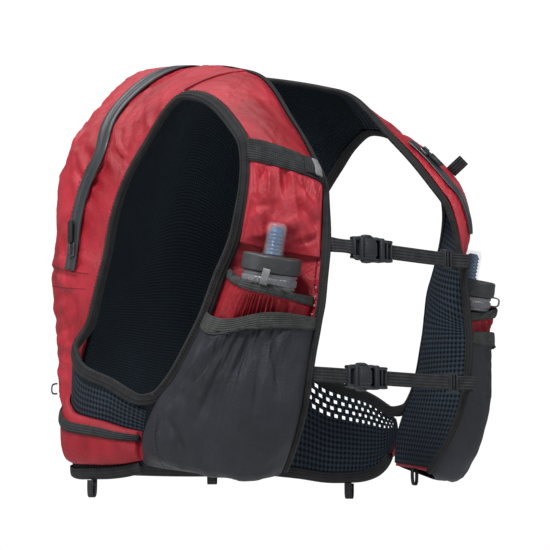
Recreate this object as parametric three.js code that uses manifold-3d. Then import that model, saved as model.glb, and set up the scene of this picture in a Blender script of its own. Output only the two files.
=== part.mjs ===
// A running hydration vest, in millimetres, +Z up. The wearer faces -Y and the wearer's right is -X.
// The origin lies between the shoulder straps, where the vest sits on the shoulders.
import * as THREE from "three";
import { mergeVertices } from "three/addons/utils/BufferGeometryUtils.js";
import Module from "manifold-3d";

const wasm = await Module();
wasm.setup();

// Driving sizes of the garment
const TORSO_HALF_WIDTH = 160;
const CHEST_DEPTH = 150;
const BACK_DEPTH = 112;
const VEST_DROP = 350;
const PACK_DEPTH = 98;
const FLASK_POCKET_DEPTH = 54;
const LOWER_POCKET_DEPTH = 51;
const CHEST_POCKET_DEPTH = 12;
const WING_POCKET_DEPTH = 9;
const CHEST_CROWN = 5;
const BACK_CROWN = 8;

// Walls, clearances and trims
const PANEL_WALL = 2.4;
const LINING_WALL = 2;
const FABRIC_WALL = 1.6;
const BAND_WALL = 1.6;
const GAP = 0.35;
const EDGE_GAP = 1;
const BINDING_WIDTH = 6;
const BINDING_WALL = 6;
const TAPE_WALL = 4;
const ZIP_WIDTH = 11;
const ZIP_WALL = 1.5;
const PULL_WIDTH = 6;
const PULL_LENGTH = 20;
const PULL_WALL = 1.4;
const ZIP_SEAT = 0.6;
const SLIDER_WIDTH = 8;
const SLIDER_WALL = 3;
const SEAM = 0.02;
const WEBBING_WIDTH = 13;
const WEBBING_WALL = 1.8;
const LOOP_WIDTH = 8;
const LOOP_LENGTH = 15;
const NET_HOLES = 9;

// The soft flasks
const CAP_RADIUS = 25.5;
const CAP_HEIGHT = 14;
const CAP_CLEARANCE = 2;
const COLLAR_RADIUS = 23;
const COLLAR_HEIGHT = 13;
const VALVE_RADIUS = 8.6;
const VALVE_HEIGHT = 27;
const VALVE_CORE_RADIUS = 5;
const FLASK_HALF_WIDTH = 29;
const FLASK_LEAN = THREE.MathUtils.degToRad(12.4);

// The sternum straps' side-release buckles
const BUCKLE_LENGTH = 50;
const BUCKLE_HEIGHT = 21;
const BUCKLE_WALL = 8;
const BUCKLE_SHELL = 1.6;
const SLIDER_LENGTH = 10;

// Front panel, from the shoulder seam down to the hem. Places are shares of the torso's half
// width (out), the chest depth (ahead) and the vest's drop (down), at the inner and arm edges.
const FRONT = {
  inOut: [0.39, 0.395, 0.41, 0.44, 0.475, 0.51, 0.525, 0.55, 0.56, 0.57,
    0.585, 0.6, 0.61, 0.625, 0.63, 0.645, 0.65, 0.645, 0.63, 0.605],
  inAhead: [0.13, 0.27, 0.39, 0.52, 0.68, 0.83, 0.875, 0.905, 0.925, 0.94,
    0.945, 0.945, 0.945, 0.94, 0.935, 0.915, 0.885, 0.84, 0.755, 0.645],
  inDown: [-0.025, 0, 0.047, 0.11, 0.185, 0.27, 0.3, 0.357, 0.415, 0.47,
    0.53, 0.583, 0.605, 0.63, 0.655, 0.705, 0.77, 0.837, 0.91, 0.977],
  armOut: [0.76, 0.755, 0.755, 0.77, 0.795, 0.805, 0.81, 0.825, 0.83, 0.83,
    0.84, 0.845, 0.855, 0.895, 0.91, 0.945, 0.975, 1.005, 1.02, 1.02],
  armAhead: [0.035, 0.19, 0.316, 0.427, 0.52, 0.585, 0.605, 0.615, 0.585, 0.54,
    0.49, 0.46, 0.44, 0.375, 0.345, 0.285, 0.215, 0.12, 0.04, 0.025],
  armDown: [0.05, 0.065, 0.095, 0.135, 0.17, 0.2, 0.237, 0.3, 0.363, 0.423,
    0.47, 0.495, 0.517, 0.61, 0.64, 0.7, 0.757, 0.81, 0.885, 0.96],
  crown: [0.6, 0.8, 1, 1.2, 1.4, 1.4, 1.2, 0.8, 0, -1,
    -2, -2, -2, -2, -2, -1.8, -1.4, -0.8, 0, 0.4],
};
const CHEST_BAND_ROWS = [5, 6];
const FLASK_BAND_ROWS = [11, 12];
const LOWER_BAND_ROWS = [13, 14];
const HEM_ROW = 19;

// Back panel, from the shoulder seam down to the bottom. The inner edge follows the neck and
// then the centre line. Behind is a share of the back depth.
const BACK = {
  inOut: [0.39, 0.36, 0.29, 0.17, 0, 0, 0, 0, 0, 0, 0, 0, 0, 0, 0, 0],
  inBehind: [-0.17, 0.045, 0.25, 0.41, 0.52, 0.67, 0.82, 0.93, 0.99, 1.01, 1.01, 1, 1, 1, 1, 1],
  inDown: [-0.025, -0.045, -0.06, -0.068, -0.074, 0, 0.1, 0.24, 0.385, 0.55, 0.65, 0.75, 0.84, 0.91,
    0.95, 0.97],
  armOut: [0.76, 0.76, 0.76, 0.76, 0.765, 0.77, 0.78, 0.79, 0.8, 0.815, 0.825, 0.84, 0.855, 0.855,
    0.845, 0.83],
  armBehind: [-0.045, 0.14, 0.25, 0.375, 0.49, 0.61, 0.69, 0.74, 0.785, 0.85, 0.9, 0.955, 0.98,
    0.98, 0.98, 0.98],
  armDown: [0.05, 0.088, 0.125, 0.168, 0.21, 0.27, 0.343, 0.43, 0.483, 0.57, 0.634, 0.71, 0.82,
    0.9, 0.945, 0.965],
  crown: [0.4, 0.4, 0.5, 0.6, 0.8, 1, 1, 1, 1, 1, 1, 1, 1, 1, 1, 1],
  packBehind: [0.01, 0.05, 0.11, 0.2, 0.42, 0.78, 0.98, 1.02, 0.97, 0.85, 0.75, 0.65, 0.53, 0.39, 0.22,
    0.02],
  packUp: [0.01, 0.06, 0.12, 0.2, 0.3, 0.47, 0.56, 0.36, 0.14, 0.02, -0.02, -0.03, -0.04, -0.04,
    -0.02, 0.01],
  neckClosed: [1, 1, 1, 1, 1, 0, 0, 0, 0, 0, 0, 0, 0, 0, 0, 0],
};
const NECK_CENTRE_ROW = 4;
const WING_TOP_ROW = 11;
const BACK_HEM_ROW = 15;

// Side wing, from the front panel back to the back panel. Ahead is a share of the torso's half
// width, and down is a share of the vest's drop.
const WING = {
  out: [1.022, 1.045, 1.05, 1.04, 1.0, 0.935, 0.868],
  ahead: [0.01, -0.09, -0.22, -0.36, -0.51, -0.63, -0.705],
  topDown: [0.83, 0.805, 0.775, 0.755, 0.73, 0.685, 0.65],
  hemDown: [0.965, 0.975, 0.98, 0.98, 0.98, 0.975, 0.97],
  lobeDown: [0.9, 0.955, 0.98, 0.985, 0.985, 0.975, 0.97],
};

// The main zip's way over the pack, from its lower end to the top centre: row of the back
// table, and share of the way from the centre line to the arm edge.
const ZIP_WAY = {
  row: [8, 7.4, 6.8, 6.2, 5.7, 5.2, 4.8, 4.5, 4.36, 4.28, 4.25, 4.26, 4.28, 4.3],
  across: [0.965, 0.965, 0.965, 0.965, 0.965, 0.965, 0.962, 0.95, 0.9, 0.8, 0.62, 0.42, 0.21, 0],
};

// Depth of each pocket at the rows that it covers, as a share of its own depth
const FLASK_POCKET = {
  row: [11, 12, 13, 14, 15, 16, 17, 18, 18.6],
  depth: [1, 0.98, 0.82, 0.8, 0.78, 0.74, 0.66, 0.46, 0.06],
  sag: [0, 0, 0, 0, 0, 0, 0, 0, 0],
};
const LOWER_POCKET = {
  row: [13, 14, 15, 16, 17, 18, 18.6, 19],
  depth: [0.96, 0.96, 0.95, 0.92, 0.86, 0.74, 0.58, 0.06],
  sag: [0, 0, 0, 0, 0.05, 0.16, 0.28, 0.02],
};
const CHEST_POCKET = {
  row: [5, 6, 7, 7.8, 8.4, 8.9],
  depth: [0.25, 0.55, 0.95, 1, 0.8, 0.1],
  sag: [0, 0, 0, 0, 0, 0],
};
const ZIPPED_POCKET = {
  row: [3, 4, 5, 6, 7, 7.8, 8.4, 8.9],
  depth: [0.06, 0.3, 0.55, 0.8, 1, 1, 0.8, 0.1],
  sag: [0, 0, 0, 0, 0, 0, 0, 0],
};
// The flask's body from its shoulder down: row of the front table, and share of its half width
const FLASK_SECTIONS = {
  row: [12.6, 13.6, 15, 16.2, 17.2, 17.8],
  width: [0.85, 0.94, 1, 1, 0.9, 0.55],
};

const CAP_ROW = 9.5;
const UPPER_STRAP_ROW = 8.6;
const LOWER_STRAP_ROW = 15.8;
const STRAP_TURN = 12;
const STRAP_LIFTS = [4.6, 5.8];
const TRIM_SEAT = 2;
const CHEST_ZIP_WIDTH = 9;
const CHEST_ZIP_LINE = 0.17;
const CHEST_ZIP_ROWS = [3.4, 4.4, 5.4, 6.4, 7.4];
const LOOP_WALL = 1.4;
const LOOP_SPREAD = 2.2;
const FLASK_NECK_RADIUS = 19;
const FLASK_SHOULDER = 9;
const FLASK_SIDES = 10;
const FLASK_WALL = 1;
const FLASK_CLEARANCE = 5.5;
const ROUND_SIDES = 14;
const VALVE_WALL = 1.1;
const NET_TOP = 0.08;
const NET_HOLE = 0.07;
const WING_SEAM = 0.006;
const WING_BELLY = 3;
const WING_POCKET_TOP = 0.42;
const WING_POCKET_HEM = 0.93;
const SHOULDER_RISE = 1.6;
const SHOULDER_ROWS = 5;
const CENTRE_EASE = 0.25;
const CENTRE_EASE_ROWS = 0.5;
const PACK_SQUARENESS = 9;
const PACK_DENTS = [
  { row: 5.3, rows: 0.3, across: 0.55, width: 0.2, depth: 0.12 },
  { row: 6.1, rows: 0.3, across: 0.75, width: 0.25, depth: 0.06 },
  { row: 7.4, rows: 0.35, across: 0.8, width: 0.4, depth: 0.04 },
];

const vec = (x, y, z) => new THREE.Vector3(x, y, z);

// A smooth value between the rows of a table's column
function between(column, at) {
  const last = column.length - 1;
  const low = Math.min(Math.max(Math.floor(at), 0), last - 1);
  const t = at - low;
  const [p0, p1, p2, p3] = [low - 1, low, low + 1, low + 2].map((i) => column[Math.min(Math.max(i, 0), last)]);
  const slope1 = low > 0 ? (p2 - p0) / 2 : p2 - p1;
  const slope2 = low < last - 1 ? (p3 - p1) / 2 : p2 - p1;
  const t2 = t * t;
  const t3 = t2 * t;
  return (2 * t3 - 3 * t2 + 1) * p1 + (t3 - 2 * t2 + t) * slope1 + (3 * t2 - 2 * t3) * p2 + (t3 - t2) * slope2;
}

// The value of a column at a given value of the table's row column, on straight lines
function lookUp(table, key, column, at) {
  const keys = table[key];
  const rising = keys[keys.length - 1] > keys[0];
  for (let i = 0; i < keys.length - 1; i += 1) {
    const inside = rising ? at <= keys[i + 1] : at >= keys[i + 1];
    if (inside || i === keys.length - 2) {
      const t = (at - keys[i]) / (keys[i + 1] - keys[i]);
      return table[column][i] + (table[column][i + 1] - table[column][i]) * t;
    }
  }
  return table[column][0];
}

// Unit normal of a surface, by small steps along both of its ways
function normalOf(surface, u, w) {
  const step = 1e-3;
  const du = surface(u + step, w).sub(surface(u - step, w));
  const dw = surface(u, w + step).sub(surface(u, w - step));
  return du.cross(dw).normalize();
}

// A point off a surface, along its normal
function lifted(surface, u, w, height) {
  return surface(u, w).addScaledVector(normalOf(surface, u, w), height);
}

// The bare front panel of the wearer's right side, on the body's side of the cloth. u runs from
// the inner edge to the arm edge, and w down the rows of its table.
function frontBase(u, w) {
  const place = (out, ahead, down) => vec(-between(FRONT[out], w) * TORSO_HALF_WIDTH,
    -between(FRONT[ahead], w) * CHEST_DEPTH, -between(FRONT[down], w) * VEST_DROP);
  const inner = place("inOut", "inAhead", "inDown");
  const arm = place("armOut", "armAhead", "armDown");
  const outward = vec(arm.y - inner.y, inner.x - arm.x, 0).normalize().negate();
  outward.z = SHOULDER_RISE * Math.max(0, 1 - w / SHOULDER_ROWS);
  outward.normalize();
  const crown = CHEST_CROWN * between(FRONT.crown, w) * 4 * u * (1 - u);
  return inner.lerp(arm, u).addScaledVector(outward, crown);
}

// A share across the back, rounded off at the centre line below the neck so that both sides meet
// in a smooth curve
function eased(across, w) {
  const ease = CENTRE_EASE * THREE.MathUtils.clamp((w - NECK_CENTRE_ROW) / CENTRE_EASE_ROWS, 0, 1);
  return (Math.hypot(across, ease) - ease) / (Math.hypot(1, ease) - ease);
}

// The bare back panel of the right side. u runs from the arm edge to the neck or centre line.
function backBase(u, w) {
  const place = (out, behind, down) => vec(-between(BACK[out], w) * TORSO_HALF_WIDTH,
    between(BACK[behind], w) * BACK_DEPTH, -between(BACK[down], w) * VEST_DROP);
  const inner = place("inOut", "inBehind", "inDown");
  const arm = place("armOut", "armBehind", "armDown");
  const across = 1 - u;
  const rise = Math.max(0, 1 - w / SHOULDER_ROWS);
  const outward = vec(-rise * 0.3, 1 - 0.8 * rise, rise).normalize();
  const closed = THREE.MathUtils.clamp(between(BACK.neckClosed, w), 0, 1);
  const soft = eased(across, w);
  const shape = closed * 4 * soft * (1 - soft) + (1 - closed) * (1 - across * across);
  const x = inner.x + (arm.x - inner.x) * across;
  return inner.lerp(arm, soft).setX(x)
    .addScaledVector(outward, BACK_CROWN * between(BACK.crown, w) * shape);
}

// The side wing, on the body's side. u runs from the front panel to the back panel, t from the
// top edge to the hem.
function wingBase(u, t, hem) {
  const at = u * (WING.out.length - 1);
  const top = between(WING.topDown, at);
  const down = top + (between(WING[hem], at) - top) * t;
  const belly = WING_BELLY * 4 * t * (1 - t);
  return vec(-between(WING.out, at) * TORSO_HALF_WIDTH - belly,
    -between(WING.ahead, at) * TORSO_HALF_WIDTH, -down * VEST_DROP);
}

// How far a pocket stands off at a share of the way across, from 0 at its seams to 1
function puffed(share, sharpness) {
  const off = Math.min(1, Math.abs(2 * share - 1));
  return Math.sqrt(Math.max(0, 1 - off ** sharpness));
}

// The pack's outer skin, over the back panel
function packSkin(u, w) {
  const across = 1 - u;
  const point = lifted(backBase, u, w, LINING_WALL + GAP + FABRIC_WALL);
  const closed = THREE.MathUtils.clamp(between(BACK.neckClosed, w), 0, 1);
  const side = Math.sqrt(Math.max(0, 1 - Math.min(1, across) ** PACK_SQUARENESS));
  const neck = 1 - closed * (1 - puffed(Math.min(1, eased(across, w)) * 0.5, 4));
  let swell = side * neck;
  for (const dent of PACK_DENTS) {
    const far = ((w - dent.row) / dent.rows) ** 2 + ((across - dent.across) / dent.width) ** 2;
    swell -= dent.depth * Math.exp(-far);
  }
  swell = Math.max(0, swell);
  point.y += between(BACK.packBehind, w) * PACK_DEPTH * swell;
  point.z += between(BACK.packUp, w) * PACK_DEPTH * swell;
  return point;
}

// The outer skin of a pocket on the front panel. Its mouth dips a little away from the chest.
function pocketSkin(pocket) {
  return (u, w) => {
    const point = lifted(frontBase, u, w, PANEL_WALL + GAP + FABRIC_WALL);
    const share = THREE.MathUtils.clamp((u - pocket.from) / (pocket.to - pocket.from), 0, 1);
    const swell = pocket.size * lookUp(pocket.table, "row", "depth", w) * puffed(share, pocket.sharpness);
    const ruche = pocket.ruche * Math.cos(share * Math.PI * pocket.columns) * puffed(share, 2);
    point.addScaledVector(normalOf(frontBase, u, w), swell + ruche);
    const sag = pocket.size * lookUp(pocket.table, "row", "sag", w) * puffed(share, 2);
    point.z -= pocket.dip * swell + sag;
    return point;
  };
}
const CHEST = { table: CHEST_POCKET, size: CHEST_POCKET_DEPTH, from: 0.03, to: 0.97, sharpness: 2.5,
  ruche: 1, columns: 8, dip: 0 };
const ZIPPED = { ...CHEST, table: ZIPPED_POCKET, ruche: 0, columns: 7 };
const FLASK = { table: FLASK_POCKET, size: FLASK_POCKET_DEPTH, from: 0.07, to: 0.95, sharpness: 3,
  ruche: 0.7, columns: 8, dip: 0.14 };
const LOWER = { table: LOWER_POCKET, size: LOWER_POCKET_DEPTH, from: 0.02, to: 0.98, sharpness: 3.4,
  ruche: 0.8, columns: 10, dip: 0.14 };

// The wing pocket's outer skin, for a wing with the given hem
const wingPocketSkin = (hem) => (u, t) => {
  const base = (a, b) => wingBase(a, b, hem);
  const point = lifted(base, u, t, LINING_WALL + GAP + FABRIC_WALL / 2);
  const share = (t - WING_POCKET_TOP) / (WING_POCKET_HEM - WING_POCKET_TOP);
  const swell = WING_POCKET_DEPTH * puffed(share, 3) * Math.sqrt(puffed(u, 4));
  return point.addScaledVector(normalOf(base, u, t), swell);
};

// A skin raised evenly off another one
const over = (skin, height) => (u, w) => lifted(skin, u, w, height);

// A closed wall as a mesh: an outer skin, an inner skin a wall's thickness under it, and a rim
// along every open edge. Each cell has four corners, given as [u, w]. With a centre row, both
// sides are made, and they are joined along u = 1 from that row down.
function wallOf(skin, cells, wall, centreRow = null) {
  const bothSides = centreRow !== null;
  const outer = [];
  const inner = [];
  const known = new Map();
  const corner = (u, w, flip) => {
    const point = skin(u, w);
    const under = point.clone().addScaledVector(normalOf(skin, u, w), -wall);
    if (bothSides && u === 1 && w >= centreRow) {
      point.x = 0;
      under.x = 0;
    }
    if (flip) {
      point.x *= -1;
      under.x *= -1;
    }
    const key = [point.x, point.y, point.z].map((v) => Math.round(v * 500) || 0).join(",");
    if (!known.has(key)) {
      known.set(key, outer.length);
      outer.push(point);
      inner.push(under);
    }
    return known.get(key);
  };
  const faces = [];
  for (const flip of bothSides ? [false, true] : [false]) {
    for (const cell of cells) {
      const ids = cell.map(([u, w]) => corner(u, w, flip));
      if (flip) {
        ids.reverse();
        ids.unshift(ids.pop());
      }
      faces.push([ids[0], ids[1], ids[2]], [ids[0], ids[2], ids[3]]);
    }
  }
  const solid = faces.filter((f) => f[0] !== f[1] && f[1] !== f[2] && f[2] !== f[0]);
  const edges = new Map();
  for (const face of solid) {
    for (let i = 0; i < 3; i += 1) {
      const [a, b] = [face[i], face[(i + 1) % 3]];
      if (!edges.delete(`${b},${a}`)) {
        edges.set(`${a},${b}`, [a, b]);
      }
    }
  }
  const count = outer.length;
  const index = [];
  for (const [a, b, c] of solid) {
    index.push(a, b, c, c + count, b + count, a + count);
  }
  for (const [a, b] of edges.values()) {
    index.push(b, a, a + count, b, a + count, b + count);
  }
  return meshed([...outer, ...inner], index);
}

// A geometry from points and triangles, turned so that its faces point out
function meshed(points, index) {
  let volume = 0;
  for (let i = 0; i < index.length; i += 3) {
    const [a, b, c] = [points[index[i]], points[index[i + 1]], points[index[i + 2]]];
    volume += a.dot(b.clone().cross(c));
  }
  const turned = volume > 0 ? index : index.slice().reverse();
  const geometry = new THREE.BufferGeometry().setFromPoints(points);
  geometry.setIndex(turned);
  return geometry;
}

// Grid cells between two lists of lines, without those that a test leaves open
function grid(us, ws, open = () => false) {
  const cells = [];
  for (let j = 0; j < ws.length - 1; j += 1) {
    for (let i = 0; i < us.length - 1; i += 1) {
      if (!open(i, j)) {
        cells.push([[us[i], ws[j]], [us[i], ws[j + 1]], [us[i + 1], ws[j + 1]], [us[i + 1], ws[j]]]);
      }
    }
  }
  return cells;
}

const steps = (from, to, count) => Array.from({ length: count + 1 }, (_, i) => from + ((to - from) * i) / count);

// A solid through a run of like sections, closed on itself or with flat ends
function sweep(sections, closed = false) {
  const size = sections[0].length;
  const index = [];
  const rings = closed ? sections.length : sections.length - 1;
  for (let k = 0; k < rings; k += 1) {
    const next = (k + 1) % sections.length;
    for (let i = 0; i < size; i += 1) {
      const j = (i + 1) % size;
      const [a, b, c, d] = [k * size + i, k * size + j, next * size + j, next * size + i];
      index.push(a, b, c, a, c, d);
    }
  }
  if (!closed) {
    const last = (sections.length - 1) * size;
    for (let i = 1; i < size - 1; i += 1) {
      index.push(0, i + 1, i, last, last + i, last + i + 1);
    }
  }
  return meshed(sections.flat(), index);
}

// A flat bar along a line: points, the cloth's normals there, and which way the bar's width lies
function bar(line, width, wall, aside, above, closed = false) {
  const count = line.length;
  const sections = line.map(({ point, normal }, k) => {
    const before = line[closed ? (k + count - 1) % count : Math.max(0, k - 1)].point;
    const after = line[closed ? (k + 1) % count : Math.min(count - 1, k + 1)].point;
    const along = after.clone().sub(before).normalize();
    const sideways = along.clone().cross(normal).normalize();
    const up = sideways.clone().cross(along).normalize();
    const at = (s, h) => point.clone().addScaledVector(sideways, s).addScaledVector(up, h);
    return [at(aside, above), at(aside + width, above), at(aside + width, above + wall),
      at(aside, above + wall)];
  });
  return sweep(sections, closed);
}

// Points and normals along an edge of a skin
const edgeOf = (skin, places) => places.map(([u, w]) => ({ point: skin(u, w), normal: normalOf(skin, u, w) }));

// The same line on the wearer's other side, run the other way
const mirroredLine = (line) => line.slice().reverse().map(({ point, normal }) => (
  { point: vec(-point.x, point.y, point.z), normal: vec(-normal.x, normal.y, normal.z) }));

// The same solid on the wearer's other side
function mirrored(geometry) {
  const position = geometry.getAttribute("position");
  const points = [];
  for (let i = 0; i < position.count; i += 1) {
    points.push(vec(-position.getX(i), position.getY(i), position.getZ(i)));
  }
  return meshed(points, Array.from(geometry.index.array));
}

// A closed turned solid about +Z from its profile of [radius, height] pairs
function turned(profile, sides) {
  const lathe = new THREE.LatheGeometry(profile.map(([r, z]) => new THREE.Vector2(r, z)), sides);
  lathe.rotateX(Math.PI / 2);
  return welded(lathe);
}

// A geometry with shared corners and no empty triangles
function welded(source) {
  source.deleteAttribute("normal");
  source.deleteAttribute("uv");
  const merged = mergeVertices(source, 1e-4);
  const all = Array.from(merged.index.array);
  const kept = [];
  for (let i = 0; i < all.length; i += 3) {
    const [a, b, c] = all.slice(i, i + 3);
    if (a !== b && b !== c && c !== a) {
      kept.push(a, b, c);
    }
  }
  const position = merged.getAttribute("position");
  const points = Array.from({ length: position.count }, (_, i) => new THREE.Vector3().fromBufferAttribute(position, i));
  return meshed(points, kept);
}

// Booleans on closed geometries
function toSolid(geometry) {
  const flat = welded(geometry);
  return new wasm.Manifold(new wasm.Mesh({
    numProp: 3,
    vertProperties: new Float32Array(flat.getAttribute("position").array),
    triVerts: new Uint32Array(flat.index.array),
  }));
}

function fromSolid(solid) {
  const mesh = solid.getMesh();
  const geometry = new THREE.BufferGeometry();
  geometry.setAttribute("position", new THREE.BufferAttribute(new Float32Array(mesh.vertProperties), 3));
  geometry.setIndex(Array.from(mesh.triVerts));
  return geometry;
}

// A block between two opposite corners
function block(low, high) {
  const size = high.map((v, i) => v - low[i]);
  const box = new THREE.BoxGeometry(...size);
  box.translate(...high.map((v, i) => (v + low[i]) / 2));
  return toSolid(box);
}

// Materials, one for each kind of surface
const LOOKS = {
  red: [0xcc3a4a, 0.7, 0],
  mesh: [0x10161e, 0.9, 0],
  binding: [0x2b2b2c, 0.85, 0],
  charcoal: [0x3b3b43, 0.8, 0],
  elastic: [0x464846, 0.85, 0],
  zip: [0x5b6062, 0.5, 0],
  metal: [0x8a8d90, 0.35, 0.9],
  webbing: [0x39393b, 0.8, 0],
  plastic: [0x3c3e44, 0.45, 0],
  cap: [0x4c4c4e, 0.5, 0],
  collar: [0x8a8a8e, 0.35, 0],
  flask: [0x827d72, 0.3, 0],
  valve: [0x28698f, 0.4, 0],
  sheath: [0xd8dcdf, 0.2, 0],
  reflective: [0xa5a5a5, 0.4, 0],
};

const vest = new THREE.Group();

function add(name, look, geometry) {
  const [color, roughness, metalness] = LOOKS[look];
  geometry.computeVertexNormals();
  const mesh = new THREE.Mesh(geometry, new THREE.MeshStandardMaterial({ color, roughness, metalness }));
  mesh.name = name;
  vest.add(mesh);
  return mesh;
}

function addPair(name, look, geometry) {
  add(`${name}_right`, look, geometry);
  add(`${name}_left`, look, mirrored(geometry));
}

// Back panel and pack
const backRows = [SEAM, 1, 2, 3, 3.5, 4, 4.5, 5, 5.5, 6, 6.5, 7, 8, 9, 10, 11, 12, 13, 14, 15];
const backLines = [0, 0.15, 0.4, 0.7, 1];
add("back_panel", "mesh", wallOf(over(backBase, LINING_WALL), grid(backLines, backRows), LINING_WALL,
  NECK_CENTRE_ROW));
const packLines = [0, 0.01, 0.035, 0.08, 0.14, 0.24, 0.4, 0.65, 1];
add("pack_shell", "red", wallOf(packSkin, grid(packLines, backRows), FABRIC_WALL, NECK_CENTRE_ROW));

// Main zip, over the pack from side to side
const zipLine = steps(0, ZIP_WAY.row.length - 1, 20).map((at) => {
  const [u, w] = [1 - between(ZIP_WAY.across, at), between(ZIP_WAY.row, at)];
  return { point: packSkin(u, w), normal: normalOf(packSkin, u, w) };
});
const zipWhole = [...zipLine, ...mirroredLine(zipLine).slice(1)];
add("main_zip", "zip", bar(zipWhole, ZIP_WIDTH, ZIP_WALL, -ZIP_WIDTH / 2, ZIP_SEAT));

// A slider and its pull tab, riding on a zip that lies along a skin
function addSlider(name, line, seat, place = (geometry) => geometry) {
  const [start, middle, end] = line;
  const at = [start, middle].map(({ point, normal }) => ({ point, normal }));
  add(`${name}_slider`, "metal", place(bar(at, SLIDER_WIDTH, SLIDER_WALL, -SLIDER_WIDTH / 2, seat + GAP)));
  const reach = end.point.clone().sub(middle.point).setLength(PULL_LENGTH);
  const from = middle.point.clone().addScaledVector(reach, 2 * GAP / PULL_LENGTH);
  const pull = [0, 0.5, 1].map((t) => ({ point: from.clone().addScaledVector(reach, t), normal: middle.normal }));
  add(`${name}_pull`, "zip", place(bar(pull, PULL_WIDTH, PULL_WALL, -PULL_WIDTH / 2, seat + GAP + 1)));
}
const mainZipTop = ZIP_SEAT + ZIP_WALL;
addSlider("main_zip", edgeOf(packSkin, [7.35, 7, 6.5].map((w) => [0.035, w])), mainZipTop);

// Front panels
const frontRows = [SEAM, ...steps(1, HEM_ROW, HEM_ROW - 1)];
const frontLines = [0, 0.12, 0.3, 0.5, 0.7, 0.88, 1];
addPair("front_panel", "red", wallOf(over(frontBase, PANEL_WALL), grid(frontLines, frontRows), PANEL_WALL));

// Pockets on the front panels, and the elastic bands at their mouths
function mouthBand(pocket, rows) {
  const skin = over(pocketSkin(pocket), GAP + BAND_WALL);
  return wallOf(skin, grid(steps(pocket.from, pocket.to, pocket.columns), rows), BAND_WALL);
}
const pocketWall = (pocket) => (
  wallOf(pocketSkin(pocket), grid(steps(pocket.from, pocket.to, pocket.columns), pocket.table.row), FABRIC_WALL));
add("chest_pocket_right", "red", pocketWall(CHEST));
add("chest_pocket_left", "red", mirrored(pocketWall(ZIPPED)));
addPair("flask_pocket", "red", pocketWall(FLASK));
addPair("lower_pocket", "charcoal", pocketWall(LOWER));
add("chest_band_right", "elastic", mouthBand(CHEST, CHEST_BAND_ROWS));
addPair("flask_band", "elastic", mouthBand(FLASK, FLASK_BAND_ROWS));
addPair("lower_band", "elastic", mouthBand(LOWER, LOWER_BAND_ROWS));

const hipEdge = (hem) => (u, t) => wingBase(u, t, hem);
// Side wings: a net with a row of cut gaps along its top, a pocket with its band, all on the hip
function wingNet(hem) {
  const us = steps(0, 1, NET_HOLES * 2 + 1);
  const rows = [0, ...steps(NET_TOP, NET_TOP + 3 * NET_HOLE, 3), WING_POCKET_TOP, 0.7, WING_POCKET_HEM, 1];
  const open = (i, j) => i > 1 && i < NET_HOLES * 2 - 1 && ((j === 1 && i % 2 === 1) || (j === 3 && i % 2 === 0));
  const base = (u, t) => wingBase(WING_SEAM + u * (1 - 2 * WING_SEAM), t, hem);
  return wallOf(over(base, LINING_WALL), grid(us, rows, open), LINING_WALL);
}
const pocketCells = grid(steps(WING_SEAM, 1 - WING_SEAM, 7), [WING_POCKET_TOP, 0.5, 0.6, 0.72, 0.84, WING_POCKET_HEM]);
const bandCells = grid(steps(WING_SEAM, 1 - WING_SEAM, 7), [0.5, 0.6]);
function addWing(side, hem, place) {
  add(`side_wing_${side}`, "mesh", place(wingNet(hem)));
  add(`wing_pocket_${side}`, "red", place(wallOf(wingPocketSkin(hem), pocketCells, FABRIC_WALL)));
  const band = wallOf(over(wingPocketSkin(hem), GAP + BAND_WALL), bandCells, BAND_WALL);
  add(`wing_band_${side}`, "elastic", place(band));
  const loop = edgeOf(hipEdge(hem), [[0.5, 1]])[0];
  loop.point.z -= BINDING_WIDTH + EDGE_GAP;
  loop.point.addScaledVector(loop.normal, LINING_WALL);
  add(`hip_loop_${side}`, "webbing", place(loopAt(loop, vec(0, 0, -1), LOOP_LENGTH, LOOP_WIDTH)));
}
addWing("right", "hemDown", (geometry) => geometry);
addWing("left", "lobeDown", mirrored);

// Bindings around the armholes, the neck and front edges, and the hem
const stack = LINING_WALL / 2 - BINDING_WALL / 2 + FABRIC_WALL;
const armRows = [1, 2, 3, 3.5, 4, 4.5, 5, 5.5, 6, 6.5, 7, 8, 9, 9.6];
const armhole = [
  ...edgeOf(frontBase, steps(17, 0, 17).map((w) => [1, w])),
  ...edgeOf(backBase, armRows.map((w) => [0, w])),
  ...edgeOf(hipEdge("hemDown"), steps(0.9, 0.05, 9).map((u) => [u, 0])),
];
addPair("armhole_binding", "binding", bar(armhole, BINDING_WIDTH, BINDING_WALL,
  -EDGE_GAP - BINDING_WIDTH, stack, true));

const frontEdge = edgeOf(frontBase, steps(HEM_ROW, 0, HEM_ROW).map((w) => [0, w]));
const neckEdge = edgeOf(backBase, [1, 2, 3, 3.5].map((w) => [1, w]));
const neckCentre = { point: backBase(1, NECK_CENTRE_ROW).setX(0), normal: vec(0, 1, 2).normalize() };
const halfEdge = [...frontEdge, ...neckEdge];
const tapeSeat = LINING_WALL / 2 - TAPE_WALL / 2 + FABRIC_WALL;
const tapeFace = tapeSeat + TAPE_WALL;
add("front_edge_tape", "binding", bar([...halfEdge, neckCentre, ...mirroredLine(halfEdge)],
  BINDING_WIDTH, TAPE_WALL, EDGE_GAP, tapeSeat));

const hemEdge = (hem, from) => [
  ...edgeOf(hipEdge(hem), steps(from, 0.98, 10).map((u) => [u, 1])),
  ...edgeOf(backBase, [0.15, 0.4, 0.7].map((u) => [u, BACK_HEM_ROW])),
];
add("hem_tape", "binding", bar([...hemEdge("hemDown", 0.02), ...mirroredLine(hemEdge("lobeDown", 0.08))],
  BINDING_WIDTH, BINDING_WALL, -EDGE_GAP - BINDING_WIDTH, stack));

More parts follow.
